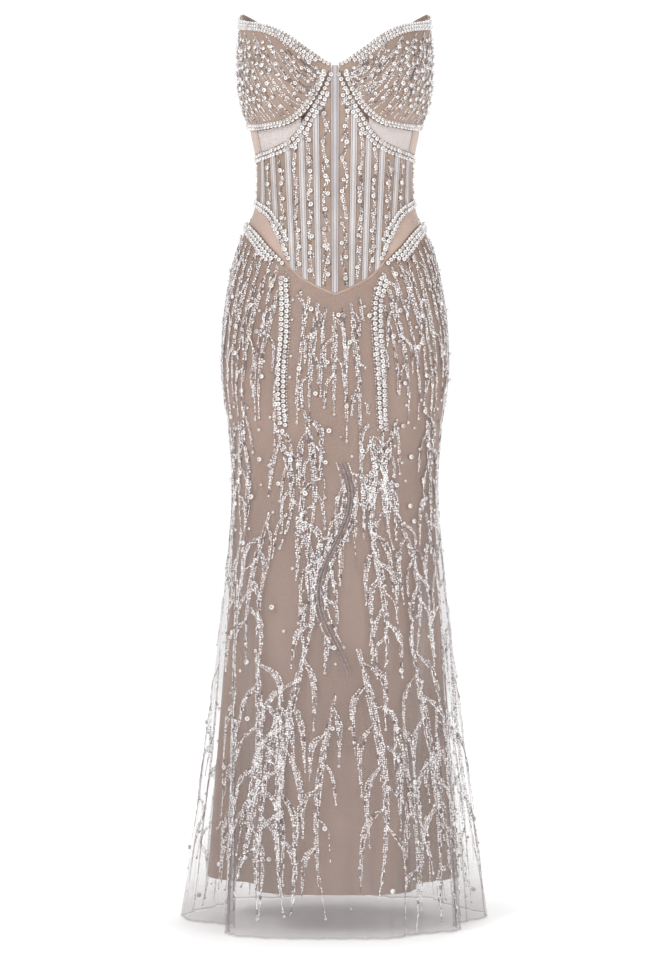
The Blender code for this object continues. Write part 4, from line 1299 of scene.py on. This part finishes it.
FRONT_ROWS_END = 89.4
BACK_ROWS = (91.6, 178.2)
BORDERS = (
    # piece, CAD nodes, seam, places, first angle, rows of (shift, radius at the front, radius at the side)
    (
        "neck_pearl_rows", "neck_pearls", neck_edge, cup_places, 4.0,
        ((-0.0030, 0.0028, 0.0024), (-0.0086, 0.0031, 0.0025), (-0.0142, 0.0027, 0.0024)),
    ),
    (
        "wire_pearl_rows", "cup_pearls", cup_edge, cup_places, 5.5,
        ((0.0042, 0.0035, 0.0030), (0.0106, 0.0027, 0.0025)),
    ),
    (
        "corset_top_pearl_rows", "corset_pearls", corset_top, oval_places, 4.6,
        ((-0.0050, 0.0034, 0.0027), (-0.0124, 0.0033, 0.0027)),
    ),
    (
        "corset_low_pearl_rows", "waist_pearls", corset_low, oval_places, 28.4,
        ((0.0046, 0.0034, 0.0030), (0.0120, 0.0033, 0.0028)),
    ),
    (
        "hip_pearl_rows", "hip_pearls", hip_seam, oval_places, 28.8,
        ((-0.0048, 0.0033, 0.0029), (-0.0110, 0.0036, 0.0031), (-0.0171, 0.0032, 0.0028)),
    ),
)
for title, node, edge, places, first, rows in BORDERS:
    tray = BeadTray()
    skin = skirt_skin if edge is hip_seam else bodice_skin
    for row, (shift, at_front, at_side) in enumerate(rows):
        angles = np.linspace(first + (0.0 if row == 0 else 2.0 + 3.0 * row), FRONT_ROWS_END, 160)
        aside = smooth_step((angles - 20) / 55)
        radius = at_front + (at_side - at_front) * aside
        angle, height = seam_path(edge, angles, shift * (1.0 - 0.16 * aside), places)
        back_angles = np.linspace(*BACK_ROWS, 160)
        back_angle, back_height = seam_path(edge, back_angles, shift * 0.86, places)
        for sign in (-1.0, 1.0):
            sewn_row(tray, skin, sign * angle, height, places, radius, start=0.0031 * (row % 2))
            if row < 2:
                sewn_row(tray, skin, sign * back_angle, back_height, places, 0.0026, "small pearl", 0.0005)
    shifts = np.array(rows)[:, 0]
    for shift in (shifts[:-1] + shifts[1:]) / 2:
        angles = np.linspace(first + 4.0, FRONT_ROWS_END, 160)
        angle, height = seam_path(edge, angles, float(shift), places)
        for sign in (-1.0, 1.0):
            sewn_row(tray, skin, sign * angle, height, places, 0.0010, "seed", 0.0020)
    lengths = [f"{node}{end}" for end in ("_left", "_right", "_back_left", "_back_right")]
    tray.sew(title, pearl_look, "pearl", *lengths)

# Drops: two strings of paired pearls that hang from the hip seam beside the corset's point.

DROP_PATHS = {
    # angle from the centre front, height
    "left": (
        (-28.4, -0.1535), (-26.6, -0.190), (-26.2, -0.235),
        (-27.6, -0.285), (-28.6, -0.330), (-28.4, -0.366),
    ),
    "right": (
        (26.8, -0.1545), (22.4, -0.188), (21.6, -0.225),
        (22.7, -0.272), (24.5, -0.330), (26.4, -0.373),
    ),
}
for side, path in DROP_PATHS.items():
    tray = BeadTray()
    path = np.array(path)
    fine = np.linspace(0, len(path) - 1, 120)
    angle = np.interp(fine, np.arange(len(path)), path[:, 0])
    height = np.interp(fine, np.arange(len(path)), path[:, 1])
    for aside, start in ((-1.45, 0.0), (1.45, 0.0034)):
        radius = np.linspace(0.0035, 0.0031, 120)
        sewn_row(tray, skirt_skin, angle + aside, height, oval_places, radius, gap=0.0006, start=start)
    for aside in (-3.0, 0.0, 3.0):
        sewn_row(tray, skirt_skin, angle + aside, height, oval_places, 0.0010, "seed", 0.0024)
    tray.sew(f"pearl_drop_{side}", pearl_look, "pearl", f"drop_pearls_{side}")

# Skirt beadwork: seed beads, sequins and tube beads, couched to the net in slanting rows.
# Falls hang from the hip seam, and branching sprays hang below them in staggered tiers.
# They are spaced evenly round the skirt, and many stems end in a small pearl.

# Beads, rows and heights in metres, and the clear room beside the zip, drops and cords in degrees.
BEAD_PITCH = 0.0033
TUBE_PITCH = 0.0052
ROW_APART = 0.0025
TONE_RUN = 0.0058
LONGEST_STRIDE = 0.006
HEM_CLEAR = -1.083
ZIP_CLEAR = 177.4
DROP_CLEAR = 3.4
CORD_CLEAR = 2.4
CORD_TOP, CORD_END = -0.42, -0.72


def smooth_path(points, pitch=0.001):
    """A smooth line through a few points, with places at an even pitch."""
    points = np.array(points, float)
    padded = np.vstack([2 * points[0] - points[1], points, 2 * points[-1] - points[-2]])
    made = []
    t = np.linspace(0, 1, 24, endpoint=False)[:, None]
    for i in range(1, len(padded) - 2):
        made.append(between(*padded[i - 1 : i + 3], t))
    made = np.vstack(made + [points[-1:]])
    run = run_along(made)
    at = np.arange(0.0, run[-1], pitch)
    return np.stack([np.interp(at, run, column) for column in made.T], 1)


def evened(rows, reach=6):
    """Evens out a line's ways out, so that its beads follow the cloth and not its small facets."""
    padded = np.pad(rows, ((reach, reach), (0, 0)), "edge")
    total = np.cumsum(np.vstack([0 * rows[:1], padded]), 0)
    return (total[2 * reach + 1 :] - total[: -(2 * reach + 1)]) / (2 * reach + 1)


def wrapped(skin, angle, height):
    """Places on the cloth at these angles round the dress and heights, its ways out, and which met it."""
    turn = np.radians(angle)
    ray = np.stack([np.sin(turn), -np.cos(turn), 0 * turn], -1)
    middle = np.stack([0 * turn, 0.01 + 0 * turn, height], -1)
    return pressed_on(skin, middle + ray * 0.2, ray, 0.2)


def couch(tray, skin, points, out, along, form, size, tone, lift, tilt):
    """Sews one bead at each place, pressed down onto the cloth and turned along its heading."""
    if len(points):
        found, ways, met = pressed_on(skin, points, out, 0.010)
        spots = (found + ways * lift)[met]
        tray.add(form, spots, ways[met], along[met], np.asarray(size)[met], tone[met], tilt)


def stem_width(kind, share):
    """How wide a stem is along its length, as a share of its fullest."""
    if kind == "feather":
        swelling = np.clip(share / 0.22, 0.30, 1.0) ** 0.8
        return swelling * np.clip((1.0 - share) / 0.62, 0.0, 1.0) ** 0.85 + 0.18
    return np.clip((1.0 - share) / 0.25, 0.45, 1.0)


def stem(tray, skin, line, kind, width, tip=True, dusk=0.0, forms=(0.30, 0.72)):
    """One stem of beadwork along a line on the cloth, its beads in slanting rows across its width.

    forms are the share of sequins, and the share of sequins and seed beads together. The rest are tiny beads.
    """
    path, out, met = line
    path, out = path[met], out[met]
    if len(path) < 8:
        return
    out = unit(evened(out))
    strides = np.linalg.norm(np.diff(path, axis=0), axis=1)
    short = strides < LONGEST_STRIDE
    sound = np.concatenate([[True], short]) & np.concatenate([short, [True]])
    run = np.concatenate([[0.0], np.cumsum(np.minimum(strides, LONGEST_STRIDE))])
    heading = unit(evened(np.gradient(path, axis=0), 2))
    aside = unit(np.cross(out, heading))
    spots, ways, along, sizes, dashes = [], [], [], [], []
    pitch = TUBE_PITCH if kind == "bugle" else BEAD_PITCH
    for place in np.arange(0.0, run[-1], pitch):
        i = min(int(np.searchsorted(run, place)), len(path) - 1)
        wide = width * float(stem_width(kind, run[i] / run[-1]))
        rows = 1 if kind == "bugle" else max(1, round(wide / ROW_APART))
        for k in range(rows):
            off = (k - (rows - 1) / 2) * ROW_APART
            slanted = place + abs(off) * 0.6 + 0.0016 * (k % 2)
            j = min(int(np.searchsorted(run, slanted)), len(path) - 1)
            if sound[j]:
                spots.append(path[j] + aside[j] * off)
                ways.append(out[j])
                along.append(heading[j] + aside[j] * (0.38 * np.sign(off)))
                sizes.append((0.0016, 0.00125, 0.0011))
                dashes.append(int(place / TONE_RUN) * 8 + k)
    if not spots:
        return
    ways, along, count = np.array(ways), np.array(along), len(spots)
    spots = np.array(spots) + beading.normal(0, 0.00030, (count, 3))
    sizes = np.array(sizes) * beading.uniform(0.75, 1.15, (count, 1))
    tones = bead_tones_with_painted_shade(max(dashes) + 1, dusk)[dashes] * beading.uniform(0.94, 1.0, count)
    if kind == "bugle":
        sizes = sizes * [2.0, 1.1, 1.1]
        couch(tray, skin, spots, ways, along, "tube", sizes, tones, 0.0007, 0.05)
    else:
        drawn = beading.random(count)
        for form, low, high, tilt in (
            ("sequin", 0.0, forms[0], 0.30),
            ("seed", forms[0], forms[1], 0.10),
            ("tiny", forms[1], 1.0, 0.12),
        ):
            pick = (drawn >= low) & (drawn < high)
            chosen = spots[pick], ways[pick], along[pick]
            couch(tray, skin, *chosen, form, sizes[pick], tones[pick], 0.0008, tilt)
    if tip and sound[-1]:
        end = path[-1:], out[-1:], heading[-1:]
        couch(tray, skin, *end, "small pearl", np.array([0.0022]), np.array([0.95]), 0.0014, 0.05)


gauge_heights = np.linspace(-1.08, -0.20, 12)
gauge = []
for height in gauge_heights:
    found, _, met = wrapped(skirt_skin, np.arange(-175.0, 176.0, 10.0), np.full(36, height))
    gauge.append(math.degrees(1.0 / np.linalg.norm(found[met][:, :2] - [0.0, 0.01], axis=1).mean()))


def turn_per_metre(height):
    """Degrees round the skirt in a metre of its cloth at this height."""
    return np.interp(height, gauge_heights, gauge)


cord_heights = np.linspace(CORD_TOP, CORD_END, 320)
cord_turn = 0.024 * np.sin(np.linspace(0.5, 7.3, 320)) * turn_per_metre(cord_heights)


def lay(tray, start, kind, width, points, tip=True):
    """A stem drawn flat, in metres across and up, and sewn on at this angle, clear of drops and cords."""
    flat = smooth_path(points)
    height = flat[:, 1]
    angle = (start + flat[:, 0] * turn_per_metre(height) + 180.0) % 360.0 - 180.0
    clear = (height < hip_seam(angle) - 0.025) & (height > HEM_CLEAR) & (np.abs(angle) < ZIP_CLEAR)
    for path in DROP_PATHS.values():
        down = np.array(path)
        near = np.abs(angle - np.interp(-height, -down[:, 1], down[:, 0])) < DROP_CLEAR
        clear &= ~(near & (height > down[-1, 1] - 0.008))
    near = np.abs(angle - np.interp(-height, -cord_heights, cord_turn)) < CORD_CLEAR
    clear &= ~(near & (height < CORD_TOP + 0.005) & (height > CORD_END - 0.005))
    if clear.sum() > 10:
        forms = (0.34, 0.44) if abs(start) < 75 else (0.34, 0.34)
        line = wrapped(skirt_skin, angle[clear], height[clear])
        stem(tray, skirt_skin, line, kind, width, tip, forms=forms)


def leaning(way, degrees):
    """A flat heading turned by a few degrees."""
    turn = math.radians(degrees)
    return np.array([[math.cos(turn), -math.sin(turn)], [math.sin(turn), math.cos(turn)]]) @ way


def spray(tray, start, spine, width, count, reach):
    """A spine, with branches that leave it to either side in turn and bend back to hang beside it."""
    lay(tray, start, "feather", width, spine)
    path = smooth_path(spine)
    heading = unit(np.gradient(path, axis=0))
    for k in range(count):
        i = int((0.06 + 0.74 * k / count) * (len(path) - 1))
        side = -1.0 if k % 2 else 1.0
        far = reach * beading.uniform(0.75, 1.25)
        knee = path[i] + leaning(heading[i], side * beading.uniform(30, 46)) * far * 0.36
        end = knee + leaning(np.array([0.0, -1.0]), side * beading.uniform(-4, 9)) * far * 0.64
        kind = "feather" if far > 0.075 else "bugle" if k % 5 == 4 else "bead"
        lay(tray, start, kind, 0.0076 if kind == "feather" else 0.0050, [path[i], knee, end], k % 3 == 0)


falls = BeadTray()
for k, start in enumerate(np.arange(-174.0, 175.0, 5.6)):
    top = float(hip_seam(abs(start))) - 0.027
    tall = top + beading.uniform(0.315, 0.395)
    sweep = 0.036 * math.sin(2 * math.radians(start)) * beading.uniform(0.85, 1.15)
    t = np.linspace(0.0, 1.0, 5)
    spine = np.stack([sweep * np.sin(1.7 * t), top - tall * t], 1)
    if k % 2:
        spray(falls, start, spine, 0.0080, 4, 0.050)
    else:
        lay(falls, start, "bead", 0.0058, spine)
falls.sew("skirt_falls", bead_look, "pearl")

TIERS = (
    # piece, sprays round the skirt, top, height, width of the spine, branches, their length
    ("skirt_sprays_upper", 18, -0.345, 0.20, 0.0088, 8, 0.074),
    ("skirt_sprays_knee", 17, -0.500, 0.22, 0.0096, 8, 0.084),
    ("skirt_sprays_hem", 13, -0.680, 0.39, 0.0116, 9, 0.135),
    ("skirt_sprays_low", 13, -0.760, 0.30, 0.0090, 6, 0.090),
)
for row, (title, count, top, tall, width, branching, reach) in enumerate(TIERS):
    tray = BeadTray()
    for k in range(count):
        start = -180.0 + 360.0 * (k + 0.5 * (row % 2) + beading.uniform(-0.06, 0.06)) / count
        if row < 2 and abs(start) < 10:
            continue
        slim = 1.0 - 0.35 * math.exp(-(((abs(start) - 88.0) / 26.0) ** 2))
        bend = beading.choice([-1.0, 1.0]) * beading.uniform(0.014, 0.032)
        t = np.linspace(0.0, 1.0, 6)
        down = top + beading.uniform(-0.018, 0.018) - tall * beading.uniform(0.88, 1.10) * t
        spine = np.stack([bend * np.sin(2.6 * t), down], 1)
        spray(tray, start, spine, width * slim, round(branching * slim), reach)
    tray.sew(title, bead_look, "pearl")

# Long cords: two smooth cords of tiny dark beads wind side by side down the middle of the skirt.

cords = BeadTray()
for aside in (-0.0024, 0.0024):
    angle = cord_turn + aside * turn_per_metre(cord_heights)
    found, ways, met = wrapped(skirt_skin, angle, cord_heights)
    tone = beading.uniform(0.25, 0.50, len(found))
    cords.add("tiny", found + ways * 0.0008, ways, np.gradient(found, axis=0), 0.0012, tone, 0.05)
cords.sew("skirt_cords_front", bead_look, "pearl")
cord_sprays = BeadTray()
for aside in (-0.0092, 0.0092):
    spine = np.stack([cord_turn / turn_per_metre(cord_heights) + aside, cord_heights], 1)[::40]
    spray(cord_sprays, 0.0, spine, 0.0062, 11, 0.058)
cord_sprays.sew("skirt_cord_sprays", bead_look, "pearl")

# Loose pearls: single pearls strewn over the net between the sprays, closer together above the knee.


def strewn(count, apart, low, high, seed):
    """Places on the skirt that keep apart from each other: fold-table place and share."""
    own = np.random.default_rng(seed)
    kept, spots = [], []
    for _ in range(count):
        place, share = own.uniform(-1, 28), own.uniform(low, high)
        point = skirt_places(np.array([place]), np.array([share]), True)[0]
        if all((point - other) @ (point - other) > apart**2 for other in spots):
            spots.append(point)
            kept.append((place, share))
    return np.array(kept)


loose = BeadTray()
for low, high, count, apart, size, seed in (
    (-0.95, 0.02, 900, 0.036, 0.0035, 1),
    (-0.95, 0.10, 1200, 0.026, 0.0022, 2),
    (0.02, 0.97, 500, 0.080, 0.0036, 3),
    (0.10, 0.97, 900, 0.056, 0.0022, 4),
):
    spots = strewn(count, apart, low, high, seed)
    points = skirt_places(spots[:, 0], spots[:, 1], True)
    ahead = skirt_places(spots[:, 0] + 0.05, spots[:, 1], True) - points
    out = unit(np.stack([ahead[:, 1], -ahead[:, 0], 0 * ahead[:, 0]], 1))
    found, ways, met = pressed_on(skirt_skin, points, out, 0.02)
    found, ways = found[met], ways[met]
    loose.add(
        "pearl" if size > 0.003 else "small pearl", found + ways * size * PEARL_LIFT, ways,
        UPWARD, size * beading.uniform(0.9, 1.1, len(found)), pearl_tones(len(found)), 0.12,
    )
loose.sew("skirt_loose_pearls", pearl_look, "pearl")

# Corset beadwork: slanting strands and a column of single pearls fill each gap between two bones.
# The back of the corset has no bones, and its strands run longer, from the hip seam to the mesh.

BACK_STRAND = 0.0038
corset_beads = BeadTray()
corset_single = BeadTray()


def corset_line(outs, height):
    """A line of the corset cut: out from the centre at the waist, and height."""
    points, out = oval_places(corset_angle(outs, height), height)
    return pressed_on(bodice_skin, points, out)


gaps = sorted({0.0} | {out for _, out, _ in BONES})
for sign in (-1.0, 1.0):
    for inner, outer in zip(gaps, gaps[1:]):
        middle, room = (inner + outer) / 2, (outer - inner) / 2 - 0.0052
        if room < 0.001:
            continue
        ends = corset_grid([middle], corset_low, corset_top, 2)[1][:, 0]
        bottom, top = float(ends[0]) + 0.006, float(ends[1]) - 0.017
        here, lean = bottom, 1.0 if beading.random() < 0.5 else -1.0
        while here < top - 0.012:
            tall = min(beading.uniform(0.030, 0.048), top - here)
            t = np.linspace(0.0, 1.0, 48)
            swing = lean * room * (1.1 * t - 0.55) + room * 0.25 * np.sin(np.pi * t)
            line = corset_line(sign * (middle + swing), here + tall * t)
            wide = beading.uniform(0.0044, 0.0062) if room > 0.004 else 0.0026
            stem(corset_beads, bodice_skin, line, "bead", wide, False, 0.35)
            here += tall * beading.uniform(0.62, 0.85)
            lean = -lean if beading.random() < 0.7 else lean
        spots = np.arange(bottom + beading.uniform(0.004, 0.016), top, 0.024)
        spots = spots + beading.uniform(-0.004, 0.004, len(spots))
        outs = sign * (middle + beading.uniform(-0.5, 0.5, len(spots)) * room)
        found, ways, met = corset_line(outs, spots)
        size = beading.uniform(0.0029, 0.0036, len(spots))
        corset_single.add(
            "pearl", (found + ways * (size * PEARL_LIFT + 0.0006)[:, None])[met], ways[met],
            UPWARD, size[met], pearl_tones(int(met.sum())), 0.08,
        )
    for k, start in enumerate(np.arange(95.0, 177.0, 4.4)):
        t = np.linspace(0.0, 1.0, 150)
        angle = np.clip(start + 3.0 * np.sin(4.4 * t + k), 91.5, 177.4)
        low, high = corset_low(angle) + 0.019, corset_top(angle) - 0.018
        points, out = oval_places(sign * angle, low * (1 - t) + high * t)
        line = pressed_on(bodice_skin, points, out)
        stem(corset_beads, bodice_skin, line, "bead", BACK_STRAND, False, 0.3, (0.3, 0.3))
        spots = np.array([0.12, 0.40, 0.68, 0.94]) - 0.13 * (k % 2)
        spots = spots[spots > 0.02]
        angle = start + 2.2 + 0 * spots
        low, high = corset_low(angle) + 0.017, corset_top(angle) - 0.016
        points, out = oval_places(sign * angle, low * (1 - spots) + high * spots)
        found, ways, met = pressed_on(bodice_skin, points, out)
        corset_single.add(
            "small pearl", (found + ways * 0.0022)[met], ways[met],
            UPWARD, 0.0030, pearl_tones(int(met.sum())), 0.08,
        )
corset_beads.sew("corset_beadwork", bead_look, "pearl")
corset_single.sew("corset_loose_pearls", pearl_look, "pearl")

# Cup beadwork: bead strands sweep from the outer neck down to the inner wire, pearls strewn between them.
# The band behind the cups carries the same strands, more upright.

cup_beads = BeadTray()
cup_pearls = BeadTray()
for sign in (-1.0, 1.0):
    for k, line in enumerate(np.arange(10.0, 134.0, 3.8)):
        t = np.linspace(0.10 * (k % 3), 1.0, 170)
        angle = line - 38.0 * t**0.85 + 0.9 * np.sin(7 * t + 1.7 * k)
        low, high = cup_edge(angle), neck_edge(angle)
        height = high - 0.019 - (high - low - 0.030) * t
        keep = (angle > 6.0) & (angle < 89.2) & (height > low + 0.010) & (height < high - 0.017)
        if keep.sum() < 12:
            continue
        points, out = cup_places(sign * angle[keep], height[keep])
        laid = pressed_on(bodice_skin, points, out)
        stem(cup_beads, bodice_skin, laid, "bead", beading.uniform(0.0030, 0.0046), False, 0.3, (0.25, 0.35))
    for k, line in enumerate(np.arange(94.0, 177.0, 4.3)):
        t = np.linspace(0.0, 1.0, 160)
        angle = np.clip(line + 2.6 * np.sin(4.0 * t + 1.4 * k), 91.2, 177.5)
        low, high = cup_edge(angle) + 0.016, neck_edge(angle) - 0.015
        points, out = cup_places(sign * angle, high * (1 - t) + low * t)
        laid = pressed_on(bodice_skin, points, out)
        stem(cup_beads, bodice_skin, laid, "bead", BACK_STRAND, False, 0.3, (0.3, 0.3))
    own = np.random.default_rng(7)
    spots = []
    for _ in range(3200):
        angle, up = own.uniform(7, 176), own.uniform(0.08, 0.92)
        apart = 0.0108 if angle < 90 else 0.019
        low, high = float(cup_edge(angle)), float(neck_edge(angle))
        height = low + 0.014 + (high - low - 0.032) * up
        point = cup_places(np.array([angle]), np.array([height]))[0][0]
        if all((point - other[2]) @ (point - other[2]) > apart**2 for other in spots):
            spots.append((angle, height, point))
    angle, height = np.array([spot[:2] for spot in spots]).T
    points, out = cup_places(angle * sign, height)
    found, ways, met = pressed_on(bodice_skin, points, out)
    size = own.uniform(0.0022, 0.0034, len(found))
    cup_pearls.add(
        "pearl", (found + ways * (size * PEARL_LIFT + 0.0004)[:, None])[met], ways[met],
        UPWARD, size[met], pearl_tones(int(met.sum())), 0.10,
    )
cup_beads.sew("cup_bead_lines", bead_look, "pearl")
cup_pearls.sew("cup_loose_pearls", pearl_look, "pearl")

size = {"cad": [list(corner) for corner in cad_box], "visual": [list(corner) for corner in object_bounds()]}
